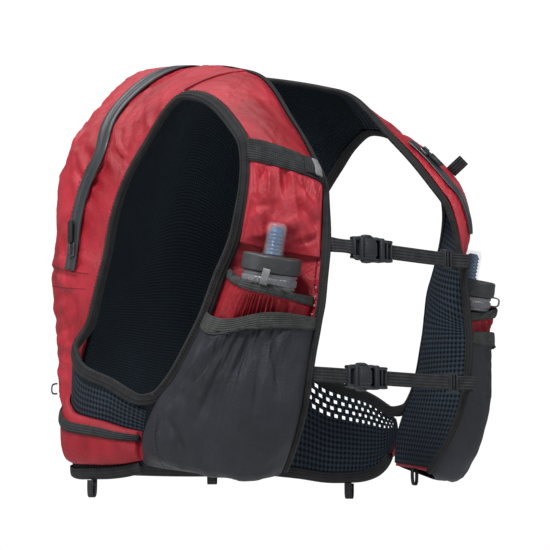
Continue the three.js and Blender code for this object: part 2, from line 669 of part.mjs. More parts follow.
// Soft flasks in their pockets: body, collar, cap and bite valve, in line along a leaning axis
const flaskAxis = vec(0, -Math.sin(FLASK_LEAN), Math.cos(FLASK_LEAN));
const flaskTurn = new THREE.Quaternion().setFromUnitVectors(vec(0, 0, 1), flaskAxis);
const capCentre = lifted(frontBase, 0.5, CAP_ROW, PANEL_WALL + CAP_CLEARANCE + CAP_RADIUS);
const onAxis = (height) => capCentre.clone().addScaledVector(flaskAxis, height);
const collarTop = -CAP_HEIGHT / 2 - GAP;
const collarFoot = collarTop - COLLAR_HEIGHT;

function flaskBody() {
  const ring = (centre, wide, thick, width, depth) => steps(0, 1, FLASK_SIDES).slice(0, -1).map((t) => (
    centre.clone().addScaledVector(wide, width * Math.cos(t * 2 * Math.PI))
      .addScaledVector(thick, depth * Math.sin(t * 2 * Math.PI))));
  const rings = (wall) => {
    const thick = frontBase(0.4, CAP_ROW).sub(frontBase(0.6, CAP_ROW)).cross(flaskAxis).normalize();
    const wide = thick.clone().cross(flaskAxis).normalize();
    const neck = FLASK_NECK_RADIUS - wall;
    const list = [
      ring(onAxis(collarFoot - GAP), wide, thick, neck, neck),
      ring(onAxis(collarFoot - GAP - FLASK_SHOULDER), wide, thick, neck + 3, neck),
    ];
    FLASK_SECTIONS.row.forEach((w, i) => {
      const room = FLASK_POCKET_DEPTH * lookUp(FLASK_POCKET, "row", "depth", w);
      const half = room / 2 - FLASK_CLEARANCE;
      const centre = lifted(frontBase, 0.5, w, PANEL_WALL + room / 2);
      const across = frontBase(0.6, w).sub(frontBase(0.4, w)).normalize();
      const width = FLASK_HALF_WIDTH * FLASK_SECTIONS.width[i];
      list.push(ring(centre, across, normalOf(frontBase, 0.5, w), width - wall, half - wall));
    });
    return list;
  };
  const outside = sweep(rings(0));
  const cavity = rings(FLASK_WALL);
  const last = cavity.length - 1;
  cavity[last] = cavity[last].map((p) => p.clone().add(vec(0, 0, FLASK_WALL)));
  cavity[0] = cavity[0].map((p) => p.clone().addScaledVector(flaskAxis, 1));
  return fromSolid(toSolid(outside).subtract(toSolid(sweep(cavity))));
}
addPair("flask_body", "flask", flaskBody());

function addTurned(name, look, profile, sides, foot) {
  const at = onAxis(foot);
  const part = turned(profile, sides);
  part.applyQuaternion(flaskTurn);
  part.translate(at.x, at.y, at.z);
  addPair(name, look, part);
}
const r = CAP_RADIUS;
addTurned("flask_collar", "collar", [[0, 0], [COLLAR_RADIUS - 1, 0], [COLLAR_RADIUS, 2],
  [COLLAR_RADIUS, COLLAR_HEIGHT], [0, COLLAR_HEIGHT]], ROUND_SIDES, collarFoot);
addTurned("flask_cap", "cap", [[0, 0], [r - 1, 0], [r, 1.5], [r, CAP_HEIGHT - 2], [r - 2, CAP_HEIGHT],
  [0, CAP_HEIGHT]], ROUND_SIDES, -CAP_HEIGHT / 2);
const valveFoot = CAP_HEIGHT / 2 + GAP;
const shell = VALVE_RADIUS - VALVE_WALL;
addTurned("valve_sheath", "sheath", [[shell, 0], [VALVE_RADIUS, 0], [VALVE_RADIUS, VALVE_HEIGHT - 3],
  [VALVE_RADIUS - 2, VALVE_HEIGHT], [0, VALVE_HEIGHT], [0, VALVE_HEIGHT - VALVE_WALL],
  [shell - 2, VALVE_HEIGHT - VALVE_WALL], [shell, VALVE_HEIGHT - 4], [shell, 0]], 8, valveFoot);
const ribs = steps(0, 2, 2).flatMap((i) => [[VALVE_CORE_RADIUS, 3 + 6 * i], [VALVE_CORE_RADIUS + 1, 6 + 6 * i]]);
addTurned("valve_core", "valve", [[0, 0], [VALVE_CORE_RADIUS, 0], ...ribs, [VALVE_CORE_RADIUS - 1, VALVE_HEIGHT - 5],
  [0, VALVE_HEIGHT - 5]],
  6, valveFoot);

const BUCKLE_PLACE = -0.3875;

// Sternum straps: webbing, a side-release buckle, and a slider where the far end doubles back
function addSternum(name, row, farSkin, farPlaces, buckleAt, lift, stub) {
  const edge = frontBase(0, row);
  const away = edge.clone().sub(frontBase(0.3, row)).setZ(0).normalize();
  const outward = vec(-normalOf(frontBase, 0, row).x, normalOf(frontBase, 0, row).y, 0).normalize();
  const start = edge.clone().addScaledVector(away, EDGE_GAP + BINDING_WIDTH + stub);
  const front = vec(0, -1, 0);
  const flat = (x) => ({ point: vec(x, start.y, start.z), normal: front });
  const web = (line) => bar(line, WEBBING_WIDTH, WEBBING_WALL, -WEBBING_WIDTH / 2, -WEBBING_WALL / 2);
  const buckleEnd = buckleAt + BUCKLE_LENGTH;
  add(`${name}_strap_right`, "webbing", web([flat(start.x), flat(buckleAt - GAP)]));
  const farLine = edgeOf(farSkin, farPlaces.map((u) => [u, row])).map(({ point, normal }) => ({
    point: vec(-point.x, point.y, point.z).addScaledVector(vec(-normal.x, normal.y, 0).normalize(), lift),
    normal: vec(-normal.x, normal.y, 0).normalize(),
  }));
  const turnX = -start.x - STRAP_TURN;
  const tapeEdge = EDGE_GAP + BINDING_WIDTH;
  const overTape = [[tapeEdge + 4, 4], [tapeEdge + 1.5, tapeFace + lift - 1.2], [-0.5, tapeFace + lift - 1.2]]
    .map(([out, height]) => ({
      point: vec(-edge.x, edge.y, edge.z).addScaledVector(vec(-away.x, away.y, 0), out)
        .addScaledVector(outward, height),
      normal: outward,
    }));
  add(`${name}_strap_left`, "webbing", web([flat(buckleEnd + GAP), flat(turnX), ...overTape, ...farLine]));
  addBuckle(name, buckleAt, start);
  const tunnel = block([-SLIDER_LENGTH, -WEBBING_WALL / 2 - GAP, -WEBBING_WIDTH / 2 - GAP],
    [SLIDER_LENGTH, WEBBING_WALL / 2 + GAP, WEBBING_WIDTH / 2 + GAP]);
  const frame = block([-SLIDER_LENGTH / 2, -WEBBING_WALL - 1, -WEBBING_WIDTH / 2 - 2],
    [SLIDER_LENGTH / 2, WEBBING_WALL + 1, WEBBING_WIDTH / 2 + 2]).subtract(tunnel);
  const slider = fromSolid(frame);
  slider.translate(turnX - SLIDER_LENGTH, start.y, start.z);
  add(`${name}_slider`, "plastic", slider);
}

function addBuckle(name, x, at) {
  const [wide, deep] = [BUCKLE_HEIGHT / 2, BUCKLE_WALL / 2];
  const socket = BUCKLE_LENGTH * 0.6;
  const back = 8;
  const room = deep - BUCKLE_SHELL;
  const hollow = block([back, -room, -wide + BUCKLE_SHELL], [socket + 1, room, wide - BUCKLE_SHELL]);
  const window = block([back + 6, -room, -wide - 1], [socket - 5, room, wide + 1]);
  const slot = block([2.5, -deep - 1, -WEBBING_WIDTH / 2], [back - 2, deep + 1, WEBBING_WIDTH / 2]);
  const female = block([0, -deep, -wide], [socket, deep, wide]).subtract(hollow).subtract(window).subtract(slot);
  const prong = room - GAP;
  const arm = wide - BUCKLE_SHELL - 2 * GAP;
  const body = block([socket + GAP, -deep, -wide], [BUCKLE_LENGTH, deep, wide]);
  const arms = [-1, 1].map((side) => {
    const [low, high] = [side * arm, side * (arm - 3)].sort((a, b) => a - b);
    return block([back + 2, -prong, low], [socket + 2, prong, high]);
  });
  const tongue = block([back + 4, -prong, -1.6], [socket + 2, prong, 1.6]);
  const bars = [0, 1].map((i) => {
    const from = socket + 8 + i * 5.5;
    return block([from, -deep - 1, -WEBBING_WIDTH / 2], [from + 3, deep + 1, WEBBING_WIDTH / 2]);
  });
  const male = [arms[0], arms[1], tongue].reduce((whole, piece) => whole.add(piece), body)
    .subtract(bars[0]).subtract(bars[1]);
  for (const [half, solid] of [["socket", female], ["plug", male]]) {
    const piece = fromSolid(solid);
    piece.translate(x, at.y, at.z);
    add(`${name}_buckle_${half}`, "plastic", piece);
  }
}
addSternum("upper", UPPER_STRAP_ROW, pocketSkin(ZIPPED), [0.06, 0.13, 0.2], BUCKLE_PLACE * TORSO_HALF_WIDTH, STRAP_LIFTS[0], 0.3);
addSternum("lower", LOWER_STRAP_ROW, pocketSkin(LOWER), [], BUCKLE_PLACE * TORSO_HALF_WIDTH, STRAP_LIFTS[1], -0.4);

// Webbing loops: a folded end that stands off from a seam or a face
function loopAt({ point, normal }, along, length, width, spread = LOOP_SPREAD) {
  const fold = [[-1, 0], [-1, 0.75], [-0.6, 0.95], [0, 1], [0.6, 0.95], [1, 0.75], [1, 0]];
  const side = along.clone().cross(normal).normalize();
  const ring = fold.map(([off, out]) => (
    point.clone().addScaledVector(normal, off * spread).addScaledVector(along, GAP + out * length)));
  const half = LOOP_WALL / 2;
  const sections = ring.map((at, k) => {
    const before = ring[Math.max(0, k - 1)];
    const after = ring[Math.min(ring.length - 1, k + 1)];
    const up = after.clone().sub(before).normalize().cross(side).normalize();
    const place = (s, h) => at.clone().addScaledVector(side, s).addScaledVector(up, h);
    return [place(-width / 2, -half), place(width / 2, -half), place(width / 2, half), place(-width / 2, half)];
  });
  return sweep(sections);
}
const front = edgeOf(frontBase, [[0.5, HEM_ROW]])[0];
front.point.addScaledVector(front.normal, PANEL_WALL);
addPair("front_loop", "webbing", loopAt(front, vec(0, 0, -1), LOOP_LENGTH, LOOP_WIDTH));

// A pull loop standing up from the right flask band
const flaskBandSkin = over(pocketSkin(FLASK), GAP + BAND_WALL);
const [bandTop, bandFoot] = edgeOf(flaskBandSkin, FLASK_BAND_ROWS.map((w) => [0.4, w]));
const upBand = bandTop.point.clone().sub(bandFoot.point).normalize();
add("flask_band_loop_right", "reflective", loopAt(bandTop, upBand, 13, 6, 1));

// A loop on the side of the pack, and a tab standing off the left shoulder pocket
const [packSide] = edgeOf(packSkin, [[0.1, 11.4]]);
add("pack_side_loop_right", "webbing", loopAt({ point: packSide.point, normal: vec(0, 0, 1) },
  packSide.normal, 7, 6, 5));
const [tabFoot] = edgeOf(pocketSkin(ZIPPED), [[0.55, 4.7]]);
const across = frontBase(1, 4.7).sub(frontBase(0, 4.7)).normalize();
add("shoulder_tab_left", "webbing", mirrored(loopAt({ point: tabFoot.point, normal: across },
  tabFoot.normal, 15, 11, 1.4)));

// A finger loop on the left flask's collar
const sideways = vec(-1, -1, 0).projectOnPlane(flaskAxis).normalize();
const collarSide = onAxis(collarTop - 3).addScaledVector(sideways, COLLAR_RADIUS);
add("flask_finger_loop_left", "collar", mirrored(loopAt({ point: collarSide, normal: flaskAxis },
  sideways, 7, 5, LOOP_SPREAD)));

// The left chest pocket's zip, and the light tab on the right chest band
const zippedSkin = pocketSkin(ZIPPED);
const chestZip = edgeOf(zippedSkin, CHEST_ZIP_ROWS.map((w) => [CHEST_ZIP_LINE, w]));
add("chest_zip_left", "zip", mirrored(bar(chestZip, CHEST_ZIP_WIDTH, ZIP_WALL, -CHEST_ZIP_WIDTH / 2, TRIM_SEAT)));
const chestBandSkin = over(pocketSkin(CHEST), GAP + BAND_WALL);
const tabLine = edgeOf(chestBandSkin, [4.95, 5.5, 6.05].map((w) => [0.14, w]));
addSlider("chest_zip_left", edgeOf(zippedSkin, [3.9, 4.2, 5].map((w) => [CHEST_ZIP_LINE, w])),
  TRIM_SEAT + ZIP_WALL, mirrored);
add("chest_band_tab_right", "reflective", bar(tabLine, 7, 1, -3.5, TRIM_SEAT));

export default vest;
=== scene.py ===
"""Looks of the running hydration vest: high detail cloth, trims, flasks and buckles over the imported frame.
Lengths in the functions are millimetres, and the meshes are in metres."""
import math

import bmesh
import bpy
import numpy as np
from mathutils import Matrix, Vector


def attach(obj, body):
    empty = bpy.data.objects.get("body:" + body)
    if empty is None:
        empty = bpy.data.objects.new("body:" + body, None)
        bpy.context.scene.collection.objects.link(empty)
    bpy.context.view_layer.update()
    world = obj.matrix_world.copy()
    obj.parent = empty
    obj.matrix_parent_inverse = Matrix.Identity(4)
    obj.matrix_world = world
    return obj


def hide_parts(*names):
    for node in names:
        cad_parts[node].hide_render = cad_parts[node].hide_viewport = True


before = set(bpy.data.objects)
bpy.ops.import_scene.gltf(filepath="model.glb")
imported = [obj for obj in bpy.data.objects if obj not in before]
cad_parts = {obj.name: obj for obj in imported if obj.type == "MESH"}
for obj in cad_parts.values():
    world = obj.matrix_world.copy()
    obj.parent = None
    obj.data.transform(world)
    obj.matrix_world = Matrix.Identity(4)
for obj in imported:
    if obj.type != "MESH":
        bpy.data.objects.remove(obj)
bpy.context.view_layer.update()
PI = math.pi

# Sizes and tables of the garment, as in the CAD
TORSO, CHEST_D, BACK_D, DROP, PACK_D = 160.0, 150.0, 112.0, 350.0, 98.0
PANEL_WALL, LINING_WALL, FABRIC_WALL, BAND_WALL = 2.4, 2.0, 1.6, 1.6
GAP, EDGE_GAP, BINDING_WIDTH, TAPE_WALL = 0.35, 1.0, 6.0, 4.0
FRONT = {
    "inOut": [0.39, 0.395, 0.41, 0.44, 0.475, 0.51, 0.525, 0.55, 0.56, 0.57,
              0.585, 0.6, 0.61, 0.625, 0.63, 0.645, 0.65, 0.645, 0.63, 0.605],
    "inAhead": [0.13, 0.27, 0.39, 0.52, 0.68, 0.83, 0.875, 0.905, 0.925, 0.94,
                0.945, 0.945, 0.945, 0.94, 0.935, 0.915, 0.885, 0.84, 0.755, 0.645],
    "inDown": [-0.025, 0, 0.047, 0.11, 0.185, 0.27, 0.3, 0.357, 0.415, 0.47,
               0.53, 0.583, 0.605, 0.63, 0.655, 0.705, 0.77, 0.837, 0.91, 0.977],
    "armOut": [0.76, 0.755, 0.755, 0.77, 0.795, 0.805, 0.81, 0.825, 0.83, 0.83,
               0.84, 0.845, 0.855, 0.895, 0.91, 0.945, 0.975, 1.005, 1.02, 1.02],
    "armAhead": [0.035, 0.19, 0.316, 0.427, 0.52, 0.585, 0.605, 0.615, 0.585, 0.54,
                 0.49, 0.46, 0.44, 0.375, 0.345, 0.285, 0.215, 0.12, 0.04, 0.025],
    "armDown": [0.05, 0.065, 0.095, 0.135, 0.17, 0.2, 0.237, 0.3, 0.363, 0.423,
                0.47, 0.495, 0.517, 0.61, 0.64, 0.7, 0.757, 0.81, 0.885, 0.96],
    "crown": [0.6, 0.8, 1, 1.2, 1.4, 1.4, 1.2, 0.8, 0, -1,
              -2, -2, -2, -2, -2, -1.8, -1.4, -0.8, 0, 0.4],
}
BACK = {
    "inOut": [0.39, 0.36, 0.29, 0.17, 0, 0, 0, 0, 0, 0, 0, 0, 0, 0, 0, 0],
    "inBehind": [-0.17, 0.045, 0.25, 0.41, 0.52, 0.67, 0.82, 0.93, 0.99, 1.01, 1.01, 1, 1, 1, 1, 1],
    "inDown": [-0.025, -0.045, -0.06, -0.068, -0.074, 0, 0.1, 0.24, 0.385, 0.55, 0.65, 0.75, 0.84,
               0.91, 0.95, 0.97],
    "armOut": [0.76, 0.76, 0.76, 0.76, 0.765, 0.77, 0.78, 0.79, 0.8, 0.815, 0.825, 0.84, 0.855,
               0.855, 0.845, 0.83],
    "armBehind": [-0.045, 0.14, 0.25, 0.375, 0.49, 0.61, 0.69, 0.74, 0.785, 0.85, 0.9, 0.955, 0.98,
                  0.98, 0.98, 0.98],
    "armDown": [0.05, 0.088, 0.125, 0.168, 0.21, 0.27, 0.343, 0.43, 0.483, 0.57, 0.634, 0.71, 0.82,
                0.9, 0.945, 0.965],
    "crown": [0.4, 0.4, 0.5, 0.6, 0.8, 1, 1, 1, 1, 1, 1, 1, 1, 1, 1, 1],
    "packBehind": [0.01, 0.05, 0.11, 0.2, 0.42, 0.78, 0.98, 1.02, 0.97, 0.84, 0.73, 0.61, 0.47,
                   0.39, 0.22, 0.02],
    "packUp": [0.01, 0.06, 0.12, 0.2, 0.3, 0.47, 0.56, 0.36, 0.14, 0.02, -0.02, -0.03, -0.04,
               -0.04, -0.02, 0.01],
    "neckClosed": [1, 1, 1, 1, 1, 0, 0, 0, 0, 0, 0, 0, 0, 0, 0, 0],
}
WING = {
    "out": [1.022, 1.045, 1.05, 1.04, 1.0, 0.935, 0.868],
    "ahead": [0.01, -0.09, -0.22, -0.36, -0.51, -0.63, -0.705],
    "topDown": [0.83, 0.805, 0.775, 0.755, 0.73, 0.685, 0.65],
    "hemDown": [0.965, 0.975, 0.98, 0.98, 0.98, 0.975, 0.97],
    "lobeDown": [0.9, 0.955, 0.98, 0.985, 0.985, 0.975, 0.97],
}
ZIP_WAY = {
    "row": [8, 7.4, 6.8, 6.2, 5.7, 5.2, 4.8, 4.5, 4.36, 4.28, 4.25, 4.26, 4.28, 4.3],
    "across": [0.974, 0.974, 0.974, 0.974, 0.974, 0.972, 0.967, 0.953, 0.9, 0.8, 0.62, 0.42, 0.21, 0],
}
FLASK_POCKET = {"row": [11, 12, 13, 14, 15, 16, 17, 18, 18.6],
                "depth": [1, 0.98, 0.82, 0.8, 0.78, 0.74, 0.66, 0.46, 0.06],
                "sag": [0, 0, 0, 0, 0, 0, 0, 0, 0]}
LOWER_POCKET = {"row": [13, 14, 15, 16, 17, 18, 18.6, 19],
                "depth": [0.96, 0.96, 0.95, 0.92, 0.86, 0.74, 0.58, 0.06],
                "sag": [0, 0, 0, 0, 0.05, 0.16, 0.28, 0.02]}
CHEST_POCKET = {"row": [5, 6, 7, 7.8, 8.3, 8.8, 9.2], "depth": [0.25, 0.55, 0.95, 1, 0.85, 0.45, 0.05],
                "sag": [0] * 7}
ZIPPED_POCKET = {"row": [3, 4, 5, 6, 7, 7.8, 8.4, 8.9],
                 "depth": [0.06, 0.3, 0.55, 0.8, 1, 1, 0.8, 0.1], "sag": [0] * 8}
FLASK_SECTIONS = {"row": [12.6, 13.6, 15, 16.2, 17.2, 17.8], "width": [0.85, 0.94, 1, 1, 0.9, 0.55]}
CHEST = dict(table=CHEST_POCKET, size=12.0, lo=0.03, hi=0.97, sharp=2.5, dip=0.0)
ZIPPED = dict(CHEST, table=ZIPPED_POCKET)
FLASK = dict(table=FLASK_POCKET, size=54.0, lo=0.07, hi=0.95, sharp=3.0, dip=0.14)
LOWER = dict(table=LOWER_POCKET, size=51.0, lo=-0.012, hi=1.012, sharp=3.4, dip=0.14)
PACK_DENTS = [dict(row=5.3, rows=0.3, across=0.55, width=0.2, depth=0.12),
              dict(row=6.1, rows=0.3, across=0.75, width=0.25, depth=0.06),
              dict(row=7.4, rows=0.35, across=0.8, width=0.4, depth=0.04)]
CAP_RADIUS, CAP_HEIGHT, CAP_ROW = 25.5, 14.0, 9.5
COLLAR_RADIUS, COLLAR_HEIGHT = 23.0, 13.0
FLASK_LEAN = math.radians(12.4)
UPPER_ROW, LOWER_ROW = 8.6, 15.8

# The camera: straight at the vest's middle from its right front, a little from below
CAMERA_DISTANCE = 1.9
CAMERA_LENS = 136.8
scene = bpy.context.scene
target = np.array([0.0, 0.0, -0.165])
away = np.array([-0.7273, -0.6783, -0.1045])
away /= np.linalg.norm(away)


def aim(obj, place, at):
    """Put an object somewhere, looking at a point."""
    obj.location = Vector(place)
    way = Vector(at) - Vector(place)
    obj.rotation_euler = way.to_track_quat("-Z", "Y").to_euler()


camera_data = bpy.data.cameras.new("camera")
camera = bpy.data.objects.new("camera", camera_data)
scene.collection.objects.link(camera)
aim(camera, tuple(target + away * CAMERA_DISTANCE), tuple(target))
camera_data.sensor_width = 36
camera_data.lens = CAMERA_LENS
camera_data.clip_end = 60
scene.camera = camera


# Functions of the surfaces
def v3(x, y, z):
    return np.stack(np.broadcast_arrays(x, y, z), -1).astype(float)


def unit(a):
    return a / np.maximum(np.linalg.norm(a, axis=-1, keepdims=True), 1e-12)


def between(column, at):
    """A smooth value between the rows of a table's column."""
    c = np.asarray(column, float)
    last = len(c) - 1
    at = np.asarray(at, float)
    low = np.clip(np.floor(at).astype(int), 0, last - 1)
    t = at - low
    p0, p1, p2, p3 = (c[np.clip(low + k, 0, last)] for k in (-1, 0, 1, 2))
    s1 = np.where(low > 0, (p2 - p0) / 2, p2 - p1)
    s2 = np.where(low < last - 1, (p3 - p1) / 2, p2 - p1)
    t2, t3 = t * t, t * t * t
    return (2 * t3 - 3 * t2 + 1) * p1 + (t3 - 2 * t2 + t) * s1 + (3 * t2 - 2 * t3) * p2 + (t3 - t2) * s2


def look(table, column, at):
    """A value between the stated rows of a pocket's table, with its corners rounded off."""
    keys, values = np.asarray(table["row"], float), np.asarray(table[column], float)
    return sum(np.interp(np.clip(at + k, keys[0], keys[-1]), keys, values)
               for k in (-0.3, -0.15, 0, 0.15, 0.3)) / 5


def smooth(x):
    x = np.clip(x, 0, 1)
    return x * x * (3 - 2 * x)


def normal_of(surface, u, w):
    e = 1e-3
    return unit(np.cross(surface(u + e, w) - surface(u - e, w), surface(u, w + e) - surface(u, w - e)))


def lifted(surface, u, w, height):
    height = np.asarray(height, float)
    return surface(u, w) + normal_of(surface, u, w) * (height[..., None] if height.ndim else height)


def over(surface, height):
    return lambda u, w: lifted(surface, u, w, height)


def puffed(share, sharp):
    return np.sqrt(np.maximum(0, 1 - np.minimum(1, np.abs(2 * share - 1)) ** sharp))


def front_base(u, w):
    u, w = np.broadcast_arrays(np.asarray(u, float), np.asarray(w, float))
    inner = v3(-between(FRONT["inOut"], w) * TORSO, -between(FRONT["inAhead"], w) * CHEST_D,
               -between(FRONT["inDown"], w) * DROP)
    arm = v3(-between(FRONT["armOut"], w) * TORSO, -between(FRONT["armAhead"], w) * CHEST_D,
             -between(FRONT["armDown"], w) * DROP)
    way = -unit(v3(arm[..., 1] - inner[..., 1], inner[..., 0] - arm[..., 0], 0 * w))
    way[..., 2] = 1.6 * np.maximum(0, 1 - w / 5)
    crown = 5 * between(FRONT["crown"], w) * 4 * u * (1 - u)
    return inner + (arm - inner) * u[..., None] + unit(way) * crown[..., None]


def eased(across, w):
    ease = 0.25 * np.clip((w - 4) / 0.5, 0, 1)
    return (np.hypot(across, ease) - ease) / (np.hypot(1, ease) - ease)


def back_base(u, w):
    u, w = np.broadcast_arrays(np.asarray(u, float), np.asarray(w, float))
    out = np.where(w >= 4, 0, between(BACK["inOut"], w))
    inner = v3(-out * TORSO, between(BACK["inBehind"], w) * BACK_D, -between(BACK["inDown"], w) * DROP)
    arm = v3(-between(BACK["armOut"], w) * TORSO, between(BACK["armBehind"], w) * BACK_D,
             -between(BACK["armDown"], w) * DROP)
    across = 1 - u
    rise = np.maximum(0, 1 - w / 5)
    way = unit(v3(-rise * 0.3, 1 - 0.8 * rise, rise))
    closed = np.clip(between(BACK["neckClosed"], w), 0, 1)
    soft = eased(across, w)
    shape = closed * 4 * soft * (1 - soft) + (1 - closed) * (1 - across * across)
    point = inner + (arm - inner) * soft[..., None]
    point[..., 0] = inner[..., 0] + (arm - inner)[..., 0] * across
    return point + way * (8 * between(BACK["crown"], w) * shape)[..., None]


def wing_base(hem):
    def base(u, t):
        u, t = np.broadcast_arrays(np.asarray(u, float), np.asarray(t, float))
        at = u * 6
        top = between(WING["topDown"], at)
        down = top + (between(WING[hem], at) - top) * t
        return v3(-between(WING["out"], at) * TORSO - 3 * 4 * t * (1 - t),
                  -between(WING["ahead"], at) * TORSO, -down * DROP)
    return base


def pack_skin(u, w):
    u, w = np.broadcast_arrays(np.asarray(u, float), np.asarray(w, float))
    across = 1 - u
    point = lifted(back_base, u, w, LINING_WALL + GAP + FABRIC_WALL)
    closed = np.clip(between(BACK["neckClosed"], w), 0, 1)
    side = np.sqrt(np.maximum(0, 1 - np.minimum(1, np.abs(across)) ** 9))
    swell = side * (1 - closed * (1 - puffed(np.minimum(1, eased(across, w)) * 0.5, 4)))
    for dent in PACK_DENTS:
        far = ((w - dent["row"]) / dent["rows"]) ** 2 + ((across - dent["across"]) / dent["width"]) ** 2
        swell = swell - dent["depth"] * np.exp(-far)
    swell = np.maximum(0, swell) * PACK_D
    point[..., 1] += between(BACK["packBehind"], w) * swell
    point[..., 2] += between(BACK["packUp"], w) * swell
    return point


def pocket_skin(pocket):
    def skin(u, w):
        u, w = np.broadcast_arrays(np.asarray(u, float), np.asarray(w, float))
        normal = normal_of(front_base, u, w)
        share = np.clip((u - pocket["lo"]) / (pocket["hi"] - pocket["lo"]), 0, 1)
        swell = pocket["size"] * look(pocket["table"], "depth", w) * puffed(share, pocket["sharp"])
        point = front_base(u, w) + normal * (PANEL_WALL + GAP + FABRIC_WALL + swell)[..., None]
        sag = pocket["size"] * look(pocket["table"], "sag", w) * puffed(share, 2)
        point[..., 2] -= pocket["dip"] * swell + sag
        return point
    return skin


def wing_pocket_skin(hem):
    base = wing_base(hem)

    def skin(u, t):
        share = (t - 0.42) / (0.93 - 0.42)
        swell = 9 * puffed(share, 3) * np.sqrt(puffed(u, 4))
        return lifted(base, u, t, LINING_WALL + GAP + FABRIC_WALL / 2 + swell)
    return skin


# Folds
def wrinkle(points, size, seed, ridged=0.5):
    """Soft folds through space, of about one size."""
    rng = np.random.default_rng(seed)
    total = 0
    for _ in range(5):
        wave = unit(rng.normal(size=3)) * 2 * PI / (size * rng.uniform(0.7, 1.5))
        bend = unit(rng.normal(size=3)) * 2 * PI / (size * rng.uniform(2, 3.5))
        phase = rng.uniform(0, 2 * PI, 2)
        value = np.sin(points @ wave + 1.6 * np.sin(points @ bend + phase[0]) + phase[1])
        total = total + ridged * (1 - 2 * np.abs(value)) + (1 - ridged) * value
    return total / 5


def drawn(points, way, times):
    """Points squeezed along one way, so that folds made from them run long that way."""
    way = unit(np.array(way, float))
    return points - (points @ way)[..., None] * way * (1 - 1 / times)


def gathers(share, below, count, seed, reach, height, fan=0.0, slant=0.0):
    """Folds that leave a gathered edge and die away below it; some run on further than others."""
    rng = np.random.default_rng(seed)
    p = rng.uniform(0, 2 * PI, 6)
    s = 0.5 + (share - 0.5) * (1 + fan * np.clip(below, 0, None) / 100)
    s = (s + slant * np.clip(below, 0, None) / 100 + 0.012 * np.sin(2 * PI * s * 3 + p[0]) + 0.006
        * np.sin(2 * PI * s * 7 + p[1] + below / 14))
    run = reach * (1 + 0.55 * np.sin(2 * PI * s * count / 2.6 + p[2]))
    ridge = 1 - np.abs(np.sin(PI * s * count + p[3])) ** 0.8
    fade = smooth(below / 5) * np.exp(-np.clip(below, 0, None) / np.maximum(run, 4))
    return height * (ridge - 0.35) * fade


def creases(skin, points, rows):
    """Pinched lines on a skin. Each row: u and w of both ends, width, depth (a fold stands up if minus)."""
    total = 0
    for u0, w0, u1, w1, width, depth in rows:
        a, b = skin(u0, w0), skin(u1, w1)
        line = b - a
        t = np.clip(((points - a) @ line) / (line @ line), 0, 1)
        gap = np.linalg.norm(points - a - t[..., None] * line, axis=-1)
        total = total - depth * np.exp(-(gap / width) ** 2) * np.sin(PI * np.clip(t, 0.04, 0.96)) ** 0.7
    return total


# Mesh builders
def linked(name, mesh):
    obj = bpy.data.objects.new(name, mesh)
    scene.collection.objects.link(obj)
    return obj


def from_arrays(name, points, faces, uv=None):
    mesh = bpy.data.meshes.new(name)
    mesh.from_pydata((np.asarray(points).reshape(-1, 3) * 0.001).tolist(), [],
        [list(map(int, f)) for f in faces])
    if uv is not None:
        layer = mesh.uv_layers.new(name="cloth")
        index = np.empty(len(mesh.loops), np.int32)
        mesh.loops.foreach_get("vertex_index", index)
        layer.data.foreach_set("uv", np.asarray(uv).reshape(-1, 2)[index].astype(np.float32).ravel())
    mesh.polygons.foreach_set("use_smooth", np.ones(len(mesh.polygons), bool))
    mesh.update()
    return linked(name, mesh)


def grid_faces(m, n, flip=False, round_u=False, holes=None, start=0):
    i, j = np.meshgrid(np.arange(m if round_u else m - 1), np.arange(n - 1), indexing="ij")
    k = (i + 1) % m
    faces = np.stack([i * n + j, k * n + j, k * n + j + 1, i * n + j + 1], -1)
    if holes is not None:
        faces = faces[~holes(i, j)]
    faces = faces.reshape(-1, 4) + start
    return faces[:, ::-1] if flip else faces


def lengths_uv(points, flip=False):
    """Flat lengths along a grid of points, in centimetres."""
    du = np.linalg.norm(np.diff(points, axis=0), axis=-1).mean(1)
    dw = np.linalg.norm(np.diff(points, axis=1), axis=-1).mean(0)
    a = np.concatenate([[0], np.cumsum(du)]) / 10
    b = np.concatenate([[0], np.cumsum(dw)]) / 10
    uv = np.stack(np.meshgrid(a - a[-1], b, indexing="ij"), -1)
    if flip:
        uv[..., 0] *= -1
    return uv


def applied(obj):
    """Bake an object's modifiers into its mesh."""
    deps = bpy.context.evaluated_depsgraph_get()
    mesh = bpy.data.meshes.new_from_object(obj.evaluated_get(deps), preserve_all_data_layers=True,
        depsgraph=deps)
    obj.modifiers.clear()
    old = obj.data
    obj.data = mesh
    mesh.name = obj.name
    bpy.data.meshes.remove(old)
    mesh.polygons.foreach_set("use_smooth", np.ones(len(mesh.polygons), bool))
    return obj


def thicken(obj, wall):
    mod = obj.modifiers.new("wall", "SOLIDIFY")
    mod.thickness = wall * 0.001
    mod.offset = -1
    mod.use_even_offset = False
    return applied(obj)


def mirror_x(points):
    return points * np.array([-1.0, 1.0, 1.0])


def cut_size(points):
    """The width, length and area of a sheet as it was cut, in metres."""
    across = np.linalg.norm(np.diff(points, axis=0), axis=-1).sum(0).max() * 0.001
    along = np.linalg.norm(np.diff(points, axis=1), axis=-1).sum(1).max() * 0.001
    a = np.cross(points[1:, :-1] - points[:-1, :-1], points[:-1, 1:] - points[:-1, :-1])
    b = np.cross(points[1:, :-1] - points[1:, 1:], points[:-1, 1:] - points[1:, 1:])
    area = (np.linalg.norm(a, axis=-1) + np.linalg.norm(b, axis=-1)).sum() / 2 * 1e-6
    return float(across), float(along), float(area)


